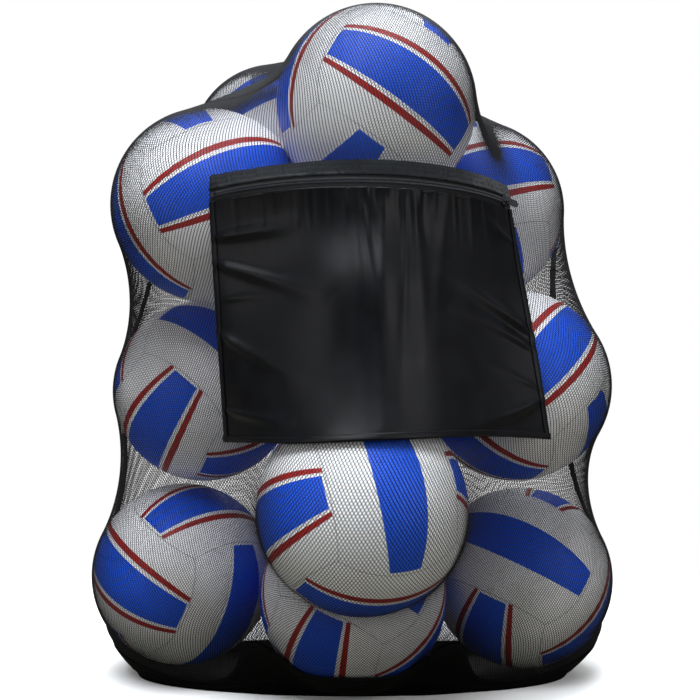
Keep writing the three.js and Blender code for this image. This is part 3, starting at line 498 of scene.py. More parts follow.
def build_balls():
    points, faces = ball_mesh()
    for name, centre in zip(BALL_NAMES, BALLS):
        turn = np.array(Euler([math.radians(a) for a in BALL_TURNS[name]], "XYZ").to_matrix())
        placed = points @ turn.T * BALL_RADIUS + centre
        ball = mesh_piece(f"{name}_panels", placed, faces, BALL_PANELS)
        turned = ball.data.attributes.new("turned", "FLOAT_VECTOR", "POINT")
        turned.data.foreach_set("vector", points.astype(np.float32).ravel())
        shape = bmesh.new()
        shape.from_mesh(ball.data)
        bmesh.ops.remove_doubles(shape, verts=shape.verts, dist=0.02 * MM)
        bmesh.ops.recalc_face_normals(shape, faces=shape.faces)
        shape.to_mesh(ball.data)
        shape.free()
        place(ball, "ball_skin", name)


# ---- Net ----------------------------------------------------------------------------------


def super_circle(angle, squareness):
    power = 2 / squareness
    c, s = np.cos(angle), np.sin(angle)
    return np.sign(c) * np.abs(c) ** power, np.sign(s) * np.abs(s) ** power


def slack_net(columns, rows):
    """A roomy bag shape round every ball, as a grid of knots."""
    back = round(columns * NET_BACK_SHARE)
    i = np.arange(columns)
    angle = np.where(i <= back, math.pi * i / back, math.pi * (1 + (i - back) / (columns - back)))[None, :]
    t = (np.arange(rows + 1) / rows)[:, None]
    swell = np.sqrt(np.clip(np.sin(math.pi * t), 0, None))
    squareness = BASE_SQUARENESS + (2 - BASE_SQUARENESS) * t
    c, s = super_circle(angle, squareness)
    half_width = BASE_HALF.x + (NECK_RADIUS - BASE_HALF.x) * t + NET_BULGE[0] * swell
    half_depth = BASE_HALF.y + (NECK_RADIUS - BASE_HALF.y) * t + NET_BULGE[1] * swell
    centre_y = NECK_CENTRE.y * t - NET_FORWARD * np.sin(math.pi * t)
    z = NET_BOTTOM + (NET_START_TOP - NET_BOTTOM) * t
    x = NECK_CENTRE.x * t + half_width * c
    return np.stack([x, centre_y + half_depth * s, np.broadcast_to(z, x.shape)], -1)


def push_out(knots, reach):
    for centre in BALLS:
        away = knots - centre
        distance = np.linalg.norm(away, axis=-1)
        inside = distance < reach
        knots[inside] = centre + away[inside] * (reach / distance[inside])[:, None]


def pull_tight(knots, rounds, lowering):
    """Every knot moves towards its neighbours, and no knot enters a ball."""
    for number in range(rounds):
        if lowering:
            knots[-1, :, 2] = NET_START_TOP + (NET_TOP - NET_START_TOP) * min(1, number / lowering)
        upright = (knots[:-2] + knots[2:]) / 2
        around = (np.roll(knots, -1, 1) + np.roll(knots, 1, 1))[1:-1] / 2
        inner = knots[1:-1]
        target = upright * NET_UPWARD_PULL + around * (1 - NET_UPWARD_PULL)
        inner += (target - inner) * NET_STEP
        push_out(inner, BALL_RADIUS + NET_STAND_OFF)
        push_out(inner, BALL_RADIUS + NET_STAND_OFF)
        inner[..., 2] = np.maximum(inner[..., 2], NET_BOTTOM)
    return knots


def sample(knots, u, v):
    """Points of the net at columns u and rows v, between its knots."""
    rows, columns = knots.shape[0] - 1, knots.shape[1]
    row = np.clip(np.floor(v).astype(int), 0, rows - 1)
    column = np.floor(u).astype(int)
    fu, fv = (u - column)[..., None], (v - row)[..., None]
    here, after = column % columns, (column + 1) % columns
    low = knots[row, here] * (1 - fu) + knots[row, after] * fu
    high = knots[row + 1, here] * (1 - fu) + knots[row + 1, after] * fu
    return low * (1 - fv) + high * fv


def evenly(points):
    """The same lines of points, each spread evenly along its length; lines run along axis 1."""
    steps = np.linalg.norm(np.diff(points, axis=1), axis=-1)
    along = np.concatenate([np.zeros((len(points), 1)), np.cumsum(steps, axis=1)], axis=1)
    out = np.empty_like(points)
    for line, length, result in zip(points, along, out):
        places = np.linspace(0, length[-1], len(line))
        for k in range(3):
            result[:, k] = np.interp(places, length, line[:, k])
    return out


def spread_evenly(knots):
    """Evens out the cloth: each panel's rows first, then its columns."""
    seam = round(knots.shape[1] * NET_BACK_SHARE)
    closed = np.concatenate([knots, knots[:, :1]], axis=1)
    rows = np.concatenate([evenly(closed[:, :seam + 1])[:, :-1], evenly(closed[:, seam:])[:, :-1]], axis=1)
    return evenly(rows.transpose(1, 0, 2)).transpose(1, 0, 2)


def tight_net():
    columns, rows, rounds = NET_LEVELS[0]
    knots = pull_tight(slack_net(columns, rows), rounds, NET_LOWERING)
    for more_columns, more_rows, rounds in NET_LEVELS[1:]:
        v, u = np.mgrid[0:more_rows + 1, 0:more_columns].astype(float)
        knots = sample(knots, u * knots.shape[1] / more_columns, v * (knots.shape[0] - 1) / more_rows)
        if more_columns < NET_LEVELS[-1][0]:
            for _ in range(NET_EVENING):
                knots = spread_evenly(knots)
                knots = pull_tight(knots, rounds // NET_EVENING, 0)
            knots = spread_evenly(knots)
        else:
            knots = pull_tight(knots, rounds, 0)
    return knots


FOOT_ROWS, FOOT_COLUMNS = 36, 22    # reach of the slack cloth up the net and along it
FOOT_SLACK = 15 * MM        # how far the cloth bags out at the bag's lower corners


def ridge(distance, width):
    """A soft bump: 1 on its line, falling to 0 with a gentle foot."""
    return np.exp(-(distance / width) ** 2)


def near_seams(columns):
    """1 at the two side seams, falling to 0 a few columns away."""
    seam = NET_LEVELS[-1][0] * NET_BACK_SHARE
    around = np.minimum(columns, NET_LEVELS[-1][0] - columns)
    return ridge(around, FOOT_COLUMNS) + ridge(columns - seam, FOOT_COLUMNS)


def slacken_foot(knots):
    """Lets the net bag out near the floor at both side seams."""
    rows = np.clip(np.arange(len(knots)) / FOOT_ROWS, 0, 1)[:, None]
    out = FOOT_SLACK * np.sin(math.pi * rows) ** 0.6 * near_seams(np.arange(knots.shape[1]))
    bagged = knots + net_normals(knots) * out[..., None]
    bagged[..., 2] = np.maximum(bagged[..., 2], NET_BOTTOM)
    return bagged


def net_normals(knots):
    across = np.roll(knots, -1, 1) - np.roll(knots, 1, 1)
    up = np.gradient(knots, axis=0)
    return unit(np.cross(across, up))


NET = slacken_foot(tight_net())
NET_ROWS, NET_COLUMNS = NET.shape[0] - 1, NET.shape[1]
LEFT_SEAM = round(NET_COLUMNS * NET_BACK_SHARE)
NET_NORMALS = net_normals(NET)
NET_TREE = BVHTree.FromPolygons(
    NET.reshape(-1, 3).tolist(), grid_faces(NET_ROWS + 1, NET_COLUMNS, wrap=True).tolist())


def net_panel(name, first, last, low, high):
    """A sheet of yarn with staggered diamond holes, over columns first..last and rows low..high."""
    rows = np.arange(low, high + 1)
    columns = np.arange(first, last + 2)
    v, u = np.meshgrid(rows.astype(float), columns.astype(float), indexing="ij")
    u = u + 0.5 * (v % 2)
    normals = unit(sample(NET_NORMALS, u, v))
    knots = sample(NET, u, v)
    width = len(columns)
    j, i = np.mgrid[1:len(rows) - 1, 0:width - 2]
    odd = (rows[j] % 2).astype(int)
    west, east = j * width + i, j * width + i + 1
    south, north = (j - 1) * width + i + odd, (j + 1) * width + i + odd
    corners = np.stack([west, south, east, north], -1).reshape(-1, 4)
    flat, up = knots.reshape(-1, 3), normals.reshape(-1, 3)
    corner_points = flat[corners]
    centre = corner_points.mean(1)
    half_across = np.linalg.norm(corner_points[:, 2] - corner_points[:, 0], axis=1) / 2
    half_high = np.linalg.norm(corner_points[:, 3] - corner_points[:, 1], axis=1) / 2
    room = half_across * half_high / np.maximum(np.hypot(half_across, half_high), 1e-9)
    open_share = np.clip(1 - THREAD_WIDTH / 2 / np.maximum(room, 1e-9), *HOLE_SHARES)[:, None, None]
    shape = np.array(HOLE_SHAPE)[None, :, None]
    sink = up[corners].mean(1)[:, None] * THREAD_RIDGE
    reach = np.minimum(open_share * shape, LARGEST_HOLE)
    inner = centre[:, None] + (corner_points - centre[:, None]) * reach - sink
    points = np.concatenate([flat + up * THREAD_RIDGE, inner.reshape(-1, 3)])
    inside = len(flat) + np.arange(len(corners) * 4).reshape(-1, 4)
    quads = [np.stack([corners[:, k], corners[:, (k + 1) % 4], inside[:, (k + 1) % 4], inside[:, k]], -1)
             for k in range(4)]
    faces = np.concatenate(quads)
    piece = mesh_piece(name, points, faces, NET_YARN)
    corner_u = np.concatenate([u.ravel(), u.ravel()[corners].ravel()])
    corner_v = np.concatenate([v.ravel(), v.ravel()[corners].ravel()])
    index = np.empty(len(piece.data.loops), np.int32)
    piece.data.loops.foreach_get("vertex_index", index)
    share = np.stack([(corner_u - first) / (last - first + 1), (corner_v - low) / (high - low)], -1)
    layer = piece.data.uv_layers.new(name="OFBake")
    layer.data.foreach_set("uv", share[index].astype(np.float32).ravel())
    return piece


def build_net():
    parts = {"net_front_panel": (LEFT_SEAM, NET_COLUMNS), "net_back_panel": (0, LEFT_SEAM)}
    for node, (first, last) in parts.items():
        bands = NET_BANDS[node]
        edges = [round(NET_ROWS * k / bands) for k in range(bands + 1)]
        for number, (low, high) in enumerate(zip(edges[:-1], edges[1:]), 1):
            bottom = max(low - 1, 0)
            top = high if number == bands else high + 1
            place(net_panel(f"{node}_{number}", first, last, bottom, top), "net_cloth", node)


# ---- Bindings and base --------------------------------------------------------------------

BINDING_HALF, BINDING_LIFT, BINDING_THICKNESS = 6.2 * MM, 1.5 * MM, 1.3 * MM
BINDING_CROWN = 0.6 * MM
BINDING_START, BINDING_STOP = 5, 8      # net rows left free at its lower and upper end
BINDING_STITCH_SHARE = 0.72             # where its stitches run, as a share of its half width
BINDING_STITCH_LIFT = 0.25 * MM


def seam_path(column, low, high, step=2):
    """Points, side directions and outward directions along one column of the net."""
    rows = np.arange(low, high + 0.1, step)
    path = sample(NET, np.full(len(rows), float(column)), rows)
    across = unit(sample(NET, np.full(len(rows), column + 1.5), rows)
                  - sample(NET, np.full(len(rows), column - 1.5), rows))
    outward = unit(sample(NET_NORMALS, np.full(len(rows), float(column)), rows))
    return path, across, outward


def build_side_binding(node, column):
    path, across, outward = seam_path(column, BINDING_START, NET_ROWS - BINDING_STOP)
    path = path + outward * BINDING_LIFT
    points, faces, uvs = band_solid(path, across, outward, BINDING_HALF, BINDING_THICKNESS, BINDING_CROWN)
    tape = mesh_piece(f"{node}_tape", points, faces, BINDING_CLOTH, uvs)
    place(tape, "webbing", node)
    lift = BINDING_THICKNESS / 2 + BINDING_STITCH_LIFT
    lines = [path + across * side * BINDING_HALF + outward * lift
             for side in (-BINDING_STITCH_SHARE, BINDING_STITCH_SHARE)]
    place_stitching(f"{node}_stitching", "webbing", [(line, outward) for line in lines])


# Height of the band at the bag's foot, and how much higher it stands at the corners, between balls
# and in the middle. The rises between balls and in the middle are painted shade: dark band cloth
# stood up where the gaps between the lower balls are only in shade.
BAND_LOW, BAND_CORNER, BAND_GAP_SHADE, BAND_MIDDLE_SHADE = 14 * MM, 34 * MM, 52 * MM, 34 * MM
BAND_GAP_X, BAND_GAP_WIDTH, BAND_MIDDLE_WIDTH = 86 * MM, 30 * MM, 80 * MM
BAND_LIFT, BAND_HALF_THICKNESS = 1.5 * MM, 0.7 * MM
BAND_FLOOR_ROOM, BAND_STITCH_FLOOR_ROOM = 0.4 * MM, 0.8 * MM
BAND_STITCH_SHARES, BAND_STITCH_LIFT = (0.25, 0.88), 2.3 * MM
BAND_STEPS = 15             # points up the band
BASE_THICKNESS = 2.4 * MM
BASE_SIDES = 160
# Rings of the base sheet, round its underside and back over its top: share of its size and lift.
BASE_RINGS = [(1.0, 0.35), (0.994, 0.0), (0.97, 0.0), (0.5, 0.0), (0.06, 0.0),
              (0.06, 1.0), (0.5, 1.0), (0.97, 1.0), (0.994, 0.9), (1.0, 0.65)]


def build_base():
    floor_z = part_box("base_panel")[0].z
    turn = np.linspace(0, 2 * math.pi, BASE_SIDES, endpoint=False)
    c, s = super_circle(turn, BASE_SQUARENESS)
    rings = []
    for share, lift in BASE_RINGS:
        height = 0 * c + lift * BASE_THICKNESS
        rings.append(np.stack([c * BASE_HALF.x * share, s * BASE_HALF.y * share, height], -1))
    points = np.concatenate(rings)
    points[:, 2] += floor_z
    faces = base_faces(len(rings), BASE_SIDES)
    place(mesh_piece("base_sheet", points, faces, NYLON, points[:, :2]), "nylon", "base_panel")
    build_base_band(floor_z)


def base_faces(rings, sides):
    """Faces of the base sheet: its rings, its filled middle below and above, and its outer edge."""
    below_middle = rings // 2 - 1
    faces = grid_faces(rings, sides, wrap=True).tolist()
    faces = [face for face in faces if face[0] // sides != below_middle]
    faces.append(list(range(below_middle * sides, (below_middle + 1) * sides)))
    faces.append(list(range((below_middle + 1) * sides, (below_middle + 2) * sides))[::-1])
    last = (rings - 1) * sides
    faces += [[last + k, last + (k + 1) % sides, (k + 1) % sides, k] for k in range(sides)]
    return faces


def band_rows(columns):
    """How many net rows the base band covers at each column, with its painted shade between the balls and in
    the middle.
    """
    foot = NET[0, columns]
    front = foot[:, 1] < 0
    # Higher between the lower balls and in the middle: painted shade, dark cloth where the net's gaps are
    # only in shade.
    gap = ridge(np.abs(foot[:, 0]) - BAND_GAP_X, BAND_GAP_WIDTH) * front
    middle_shade = ridge(foot[:, 0], BAND_MIDDLE_WIDTH) * front
    height = BAND_LOW + BAND_CORNER * near_seams(columns) + BAND_GAP_SHADE * gap + BAND_MIDDLE_SHADE * middle_shade
    reached = np.argmax(NET[:, columns, 2] >= height, axis=0)
    kernel = np.ones(9) / 9
    return np.convolve(np.pad(reached, 4, mode="wrap"), kernel, "valid")


def build_base_band(floor_z):
    """The dark band round the bag's foot, which follows the net, and its two rows of stitches; where it
    rises between the balls and in the middle, it is painted shade.
    """
    columns = np.arange(NET_COLUMNS)
    rows = band_rows(columns)
    s = np.linspace(0, 1, BAND_STEPS)
    u = np.repeat(columns[:, None].astype(float), len(s), axis=1)
    v = rows[:, None] * s
    path, outward = sample(NET, u, v), unit(sample(NET_NORMALS, u, v))
    edge = (np.sqrt(np.clip(1 - np.abs(2 * s - 1) ** 8, 0, 1)) * BAND_HALF_THICKNESS)[None, :, None]
    front = path + outward * (BAND_LIFT + edge)
    back = path + outward * (BAND_LIFT - edge)
    points = np.concatenate([front, back[:, -2:0:-1]], axis=1)
    points[:, 0, 2] = points[:, 1, 2] = floor_z
    points[..., 2] = np.maximum(points[..., 2], floor_z + BAND_FLOOR_ROOM)
    count = points.shape[1]
    flat = points.reshape(-1, 3)
    faces = grid_faces(len(columns) + 1, count, wrap=True) % len(flat)
    along = distances(front[:, 3])
    ring_s = np.concatenate([s, s[-2:0:-1]])
    uvs = np.stack([(rows[:, None] * ring_s * 3 * MM).ravel(), np.repeat(along, count)], -1)
    band = mesh_piece("base_band", flat, faces, BINDING_CLOTH, uvs)
    place(band, "webbing", "base_binding")
    stitching = []
    for share in BAND_STITCH_SHARES:
        where = rows * share
        out = unit(sample(NET_NORMALS, columns.astype(float), where))
        line = sample(NET, columns.astype(float), where) + out * BAND_STITCH_LIFT
        line[:, 2] = np.maximum(line[:, 2], floor_z + BAND_STITCH_FLOOR_ROOM)
        stitching.append((np.concatenate([line, line[:1]]), np.concatenate([out, out[:1]])))
    place_stitching("base_band_stitching", "webbing", stitching)


# ---- Zip ----------------------------------------------------------------------------------


def joint(name):
    return next(j for j in frame["joints"] if j["name"] == name)


ZIP_CENTRE = np.array(joint("zip_slide")["pos_m"])
ZIP_AXIS = unit(np.array(joint("zip_slide")["axis"]))
ZIP_AHEAD = unit(np.array([0.0, -1.0, 0.0]) + ZIP_AXIS * ZIP_AXIS[1])
ZIP_SIDE = np.cross(ZIP_AXIS, ZIP_AHEAD)


def zip_circle():
    """Radius and end angles of the zip's arc and height of its tape, from the upper CAD tape."""
    tape = frame["nodes"]["zip_tape_upper"].data
    points = np.array([v.co for v in tape.vertices]) - ZIP_CENTRE
    flat = points - np.outer(points @ ZIP_AXIS, ZIP_AXIS)
    reach = np.linalg.norm(flat, axis=1)
    angle = np.arctan2(flat @ ZIP_SIDE, flat @ ZIP_AHEAD)
    return (reach.min() + reach.max()) / 2, angle.min(), angle.max(), (points @ ZIP_AXIS).max()


ZIP_RADIUS, ZIP_LEFT, ZIP_RIGHT, TAPE_HIGH = zip_circle()


def on_zip(angle, outwards=0.0, upwards=0.0):
    """Points at these angles of the zip's arc, moved out from it and up along its axis."""
    angle, outwards, upwards = np.broadcast_arrays(angle, outwards, upwards)
    ahead = np.cos(angle)[..., None] * ZIP_AHEAD + np.sin(angle)[..., None] * ZIP_SIDE
    return ZIP_CENTRE + ahead * (ZIP_RADIUS + outwards)[..., None] + upwards[..., None] * ZIP_AXIS


ZIP_POINTS = 121            # points along the tapes
TAPE_SLIT = 0.1 * MM        # half the gap between the tapes
TAPE_TUCK = 3.0 * MM        # tape hidden behind the pocket and the band
TAPE_THICKNESS, TAPE_OUT = 1.0 * MM, -0.2 * MM
TAPE_STITCH_OUT, TAPE_STITCH_IN = 0.5 * MM, 1.0 * MM
COIL_PITCH, COIL_WIRE = 1.5 * MM, 0.42 * MM
COIL_START, COIL_REACH = 2.55 * MM, 2.6 * MM    # a loop's start from the slit, and its run towards it
COIL_LIFT, COIL_CROWN = 0.9 * MM, 0.75 * MM
COIL_LEAN = 0.35            # slant of a loop, as a share of the pitch
COIL_HOOK = 1.25            # a loop's end is this much thicker, where it grips the other half
COIL_RINGS = 5
COIL_MARGIN = 5.0 * MM / ZIP_RADIUS
# The tapes, the pocket and the band above it all end at these angles, a little past the zip.
SEWN_LEFT = ZIP_LEFT - 3.5 * MM / ZIP_RADIUS
SEWN_RIGHT = ZIP_RIGHT + 7.5 * MM / ZIP_RADIUS
SEWN_OUT, SEWN_GAP = 1.2 * MM, 0.1 * MM


def coil_teeth(side, first, last):
    """One half of the zip's coil: a row of slanted rounded loops, side +1 above and -1 below."""
    count = int((last - first) * ZIP_RADIUS / COIL_PITCH)
    angles = first + (np.arange(count) + (0.5 if side > 0 else 0.0)) * COIL_PITCH / ZIP_RADIUS
    turn = np.linspace(0, 2 * math.pi, ROD_SIDES + 1)[:-1]
    loops = []
    for angle in angles:
        for share in np.linspace(0, 1, COIL_RINGS):
            high = side * (COIL_START - share * COIL_REACH)
            out = COIL_LIFT + COIL_CROWN * math.sin(math.pi * min(1, 0.15 + share * 0.75))
            swell = COIL_WIRE * (COIL_HOOK if share > 0.8 else 1.0)
            lean = angle + share * COIL_LEAN * COIL_PITCH / ZIP_RADIUS
            centre = on_zip(lean, out, high)
            along = unit(on_zip(lean + 0.01, out, high) - centre)
            outwards = unit(on_zip(lean, out + 0.01, high) - centre)
            ring = np.outer(np.cos(turn), along) + np.outer(np.sin(turn), outwards)
            loops.append(centre + ring * swell)
    return np.concatenate(loops), repeated_rods(count, COIL_RINGS)


def build_zip():
    angles = np.linspace(SEWN_LEFT, SEWN_RIGHT, ZIP_POINTS)
    half_width = (TAPE_HIGH + TAPE_TUCK - TAPE_SLIT) / 2
    outward = unit(on_zip(angles, 0.01) - on_zip(angles))
    across = np.tile(ZIP_AXIS, (len(angles), 1))
    for node, side in (("zip_tape_upper", 1), ("zip_tape_lower", -1)):
        path = on_zip(angles, TAPE_OUT, side * (TAPE_SLIT + half_width))
        points, faces, uvs = band_solid(path, across, outward, half_width, TAPE_THICKNESS)
        place(mesh_piece(f"{node}_weave", points, faces, TAPE_CLOTH, uvs), "zip_tape", node)
        stitches = on_zip(angles, TAPE_STITCH_OUT, side * (TAPE_HIGH - TAPE_STITCH_IN))
        place_stitching(f"{node}_stitching", "zip_tape", [(stitches, outward)])
    for node, side in (("zip_coil_upper", 1), ("zip_coil_lower", -1)):
        points, faces = coil_teeth(side, ZIP_LEFT + COIL_MARGIN, ZIP_RIGHT - COIL_MARGIN)
        place(mesh_piece(f"{node}_teeth", points, faces, COIL_PLASTIC), "zip_coil", node)


def dress_cad(nodes, material, bevel):
    """Keeps CAD pieces, with rounded edges and a finished material."""
    for node in nodes:
        piece = frame["nodes"][node]
        piece.data.materials.clear()
        piece.data.materials.append(material)
        rounding = piece.modifiers.new("rounding", "BEVEL")
        rounding.width = bevel
        rounding.segments = 3
        rounding.limit_method = "ANGLE"
        rounding.angle_limit = math.radians(40)
        piece.data.polygons.foreach_set("use_smooth", np.ones(len(piece.data.polygons), bool))
        weighted = piece.modifiers.new("shading", "WEIGHTED_NORMAL")
        weighted.keep_sharp = True


# ---- Pocket -------------------------------------------------------------------------------

POCKET_GRID = (97, 73)      # columns and rows of the draped cloth
POCKET_FINE = 3             # subdivisions of each draped cell
POCKET_LIFT = 4.0 * MM
POCKET_HEM = 7.0 * MM
POCKET_THICKNESS = 0.9 * MM
POCKET_ARCH = 17.0 * MM     # rise of the bottom edge in its middle
HEM_LINE, HEM_INNER = 3, 8  # rows or columns of the cloth, counted in from its edge
HEM_THICKNESS, HEM_CROWN, HEM_LIFT = 0.8 * MM, 0.25 * MM, 0.7 * MM
HEM_STITCH_SHARE, HEM_STITCH_LIFT = 0.28, 0.65 * MM


def net_front(x, z):
    """The y of the net's front in line with (x, z)."""
    hit = NET_TREE.ray_cast(Vector((x, -1.0, z)), Vector((0, 1, 0)))[0]
    return hit.y if hit is not None else 0.0


def drape(points, pinned, rounds=220):
    """Moves unpinned points in y until the cloth is smooth and just clears the net."""
    limit = np.array([[net_front(p[0], p[2]) for p in row] for row in points]) - POCKET_LIFT
    y = np.where(pinned, points[..., 1], limit)
    for _ in range(rounds):
        padded = np.pad(y, 1, mode="edge")
        stacked = (padded[:-2, 1:-1] + padded[2:, 1:-1]) / 2
        beside = (padded[1:-1, :-2] + padded[1:-1, 2:]) / 2
        mean = (stacked + beside) / 2
        mean[:, 0], mean[:, -1] = stacked[:, 0], stacked[:, -1]
        mean[0, 1:-1] = beside[0, 1:-1]
        y = np.where(pinned, y, np.minimum(limit, mean))
    out = points.copy()
    out[..., 1] = y
    return out


def pocket_frame():
    """The flat plan of the pocket, from its bottom hem up to the zip, before it is draped."""
    columns, rows = POCKET_GRID
    s = np.linspace(0, 1, columns)
    top = on_zip(SEWN_LEFT + (SEWN_RIGHT - SEWN_LEFT) * s, SEWN_OUT, -TAPE_HIGH - SEWN_GAP)
    low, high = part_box("pocket_hem_bottom")
    bottom_z = low.z + POCKET_ARCH * np.sin(math.pi * s)
    bottom = np.stack([low.x + (high.x - low.x) * s, 0 * s, bottom_z], -1)
    t = np.linspace(0, 1, rows)[:, None, None]
    return bottom[None] * (1 - t) + top[None] * t


def upsample(grid, factor):
    """Smooth finer copy of a grid of points."""
    rows, columns = grid.shape[:2]
    v = np.linspace(0, rows - 1, (rows - 1) * factor + 1)
    u = np.linspace(0, columns - 1, (columns - 1) * factor + 1)
    j = np.clip(v.astype(int), 0, rows - 2)
    i = np.clip(u.astype(int), 0, columns - 2)
    fv, fu = (v - j)[:, None, None], (u - i)[None, :, None]
    low = grid[j][:, i] * (1 - fu) + grid[j][:, i + 1] * fu
    high = grid[j + 1][:, i] * (1 - fu) + grid[j + 1][:, i + 1] * fu
    return low * (1 - fv) + high * fv


def soft_noise(values, seed):
    """Smooth one-dimensional noise between -1 and 1."""
    knots = np.random.default_rng(seed).uniform(-1, 1, 400)
    base = np.floor(values).astype(int)
    f = values - base
    f = f * f * (3 - 2 * f)
    return knots[base % 400] * (1 - f) + knots[(base + 1) % 400] * f


# Folds drawn in from the pocket's edges: start and end as (share across, share up), width as a
# share, height in millimetres.
EDGE_FOLDS = [
    ((0.0, 0.87), (0.28, 0.83), 0.017, 6.2), ((0.0, 0.73), (0.36, 0.58), 0.018, 5.6),
    ((0.02, 0.60), (0.22, 0.55), 0.012, 1.6), ((0.0, 0.46), (0.30, 0.24), 0.017, 5.0),
    ((0.0, 0.13), (0.24, 0.10), 0.013, 3.8), ((1.0, 0.86), (0.78, 0.94), 0.014, 2.0),
    ((1.0, 0.44), (0.66, 0.72), 0.018, 6.4), ((1.0, 0.36), (0.70, 0.54), 0.016, 5.2),
    ((1.0, 0.24), (0.78, 0.30), 0.012, 1.6), ((1.0, 0.20), (0.72, 0.02), 0.017, 5.0),
]
# Upright folds below the middle of the zip: share across, lean, width, height in millimetres.
UPRIGHT_FOLDS = [
    (0.415, 0.030, 0.016, 1.4), (0.465, 0.012, 0.010, 1.8), (0.515, -0.010, 0.016, 2.6),
    (0.565, -0.018, 0.010, 1.6), (0.615, -0.030, 0.016, 2.0), (0.69, -0.06, 0.016, 1.0),
]


def pocket_wrinkles(s, t):
    """Height of the pocket's folds, in metres, at shares s across and t up."""
    under_zip = np.clip(1 - (1 - t) / 0.30, 0, 1)
    gathers = soft_noise(s * 46 + 0.7 * soft_noise(t * 5 + s * 6, 3), 5) + 0.5 * soft_noise(s * 90, 9)
    height = 1.3 * MM * under_zip ** 1.5 * gathers * (0.35 + 0.65 * ridge(s - 0.5, 0.28))
    for at, lean, width, size in UPRIGHT_FOLDS:
        line = at + lean * (1 - t) + 0.010 * np.sin(5 * t + 40 * at)
        spread = width * (0.8 + 1.4 * (1 - t))
        fade = np.clip((1.02 - t) / 0.10, 0, 1) * (0.25 + 0.75 * t)
        height += size * MM * ridge(s - line, spread) * fade
    for (s0, t0), (s1, t1), width, size in EDGE_FOLDS:
        along = ((s - s0) * (s1 - s0) + (t - t0) * (t1 - t0)) / ((s1 - s0) ** 2 + (t1 - t0) ** 2)
        inside = np.clip(along, 0, 1)
        bend = 0.02 * np.sin(2.6 * inside + 20 * t0)
        off = np.hypot(s - s0 - inside * (s1 - s0), t - t0 - inside * (t1 - t0) - bend)
        height += size * MM * ridge(off, width * (0.7 + 1.6 * inside)) * (1 - inside) ** 0.8
    height += 0.4 * MM * soft_noise(s * 9 + 3 * t, 21) * soft_noise(t * 8 + 2 * s, 22)
    edge = np.clip(np.minimum.reduce([s, 1 - s, t * 1.2, (1 - t) * 4 + 0.25]) / 0.05, 0, 1)
    return height * edge


POCKET_GROWTH = 0.0012      # extra cloth that has to buckle into small folds
POCKET_SETTLING = 26        # frames of the cloth simulation
POCKET_IRONING = 14         # rounds of smoothing after it
CLOTH_MASS, CLOTH_STRETCH, CLOTH_SHEAR, CLOTH_BENDING = 0.06, 60, 12, 3.0
CLOTH_TOUCH = 1.5 * MM
CLOTH_QUALITY, CLOTH_FRICTION = 6, 12
NET_STRIDE = 4.0            # every fourth knot of the net is enough for the cloth to lie on


def settle_cloth(grid):
    """Lets the pocket's cloth settle under its own weight against the net, held at all its edges."""
    rows, columns = grid.shape[:2]
    cloth = mesh_piece("settling_cloth", grid.reshape(-1, 3), grid_faces(rows, columns))
    under = sample(NET, *np.meshgrid(np.arange(0, NET_COLUMNS, NET_STRIDE),
                                     np.arange(0, NET_ROWS + 1, NET_STRIDE)))
    net = mesh_piece("settling_net", under.reshape(-1, 3), grid_faces(*under.shape[:2], wrap=True))
    net.modifiers.new("touch", "COLLISION")
    net.collision.thickness_outer = CLOTH_TOUCH
    net.collision.cloth_friction = CLOTH_FRICTION
    row, column = np.divmod(np.arange(rows * columns), columns)
    edge = (row == 0) | (row == rows - 1) | (column == 0) | (column == columns - 1)
    cloth.vertex_groups.new(name="sewn").add(np.flatnonzero(edge).tolist(), 1.0, "REPLACE")
    rules = cloth.modifiers.new("settle", "CLOTH")
    rules.settings.vertex_group_mass = "sewn"
    rules.settings.quality = CLOTH_QUALITY
    rules.settings.mass = CLOTH_MASS
    rules.settings.tension_stiffness = CLOTH_STRETCH
    rules.settings.compression_stiffness = CLOTH_STRETCH
    rules.settings.shear_stiffness = CLOTH_SHEAR
    rules.settings.bending_stiffness = CLOTH_BENDING
    rules.settings.shrink_min = -POCKET_GROWTH
    rules.collision_settings.distance_min = CLOTH_TOUCH
    rules.point_cache.frame_end = POCKET_SETTLING
    scene = bpy.context.scene
    for number in range(1, POCKET_SETTLING + 1):
        scene.frame_set(number)
    settled = cloth.evaluated_get(bpy.context.evaluated_depsgraph_get()).data
    points = np.empty(rows * columns * 3)
    settled.vertices.foreach_get("co", points)
    for helper in (cloth, net):
        bpy.data.objects.remove(helper)
    scene.frame_set(1)
    return points.reshape(rows, columns, 3)


def ironed(grid):
    """The same cloth with its smallest crumples smoothed out."""
    for _ in range(POCKET_IRONING):
        inner = (grid[:-2, 1:-1] + grid[2:, 1:-1] + grid[1:-1, :-2] + grid[1:-1, 2:]) / 4
        grid[1:-1, 1:-1] = inner
    return grid


def sheet_normals(grid):
    return unit(np.cross(np.gradient(grid, axis=1), np.gradient(grid, axis=0)))


def build_pocket():
    plan = pocket_frame()
    pinned = np.zeros(plan.shape[:2], bool)
    pinned[-1] = True
    cloth = drape(plan, pinned)
    cloth = ironed(settle_cloth(cloth))
    cloth = upsample(cloth, POCKET_FINE)
    rows, columns = cloth.shape[:2]
    t, s = np.meshgrid(np.linspace(0, 1, rows), np.linspace(0, 1, columns), indexing="ij")
    cloth = cloth + sheet_normals(cloth) * pocket_wrinkles(s, t)[..., None]
    outward = sheet_normals(cloth)
    width = np.linalg.norm(cloth[0, -1] - cloth[0, 0])
    height = np.linalg.norm(cloth[-1, columns // 2] - cloth[0, columns // 2])
    uvs = np.stack([s * width, t * height], -1).reshape(-1, 2)
    points, faces = thick_sheet(cloth, outward, POCKET_THICKNESS)
    piece = mesh_piece("pocket_cloth", points, faces, NYLON, np.concatenate([uvs, uvs]))
    place(piece, "nylon", "pocket_front")
    build_pocket_hems(cloth, outward)
    build_top_band()


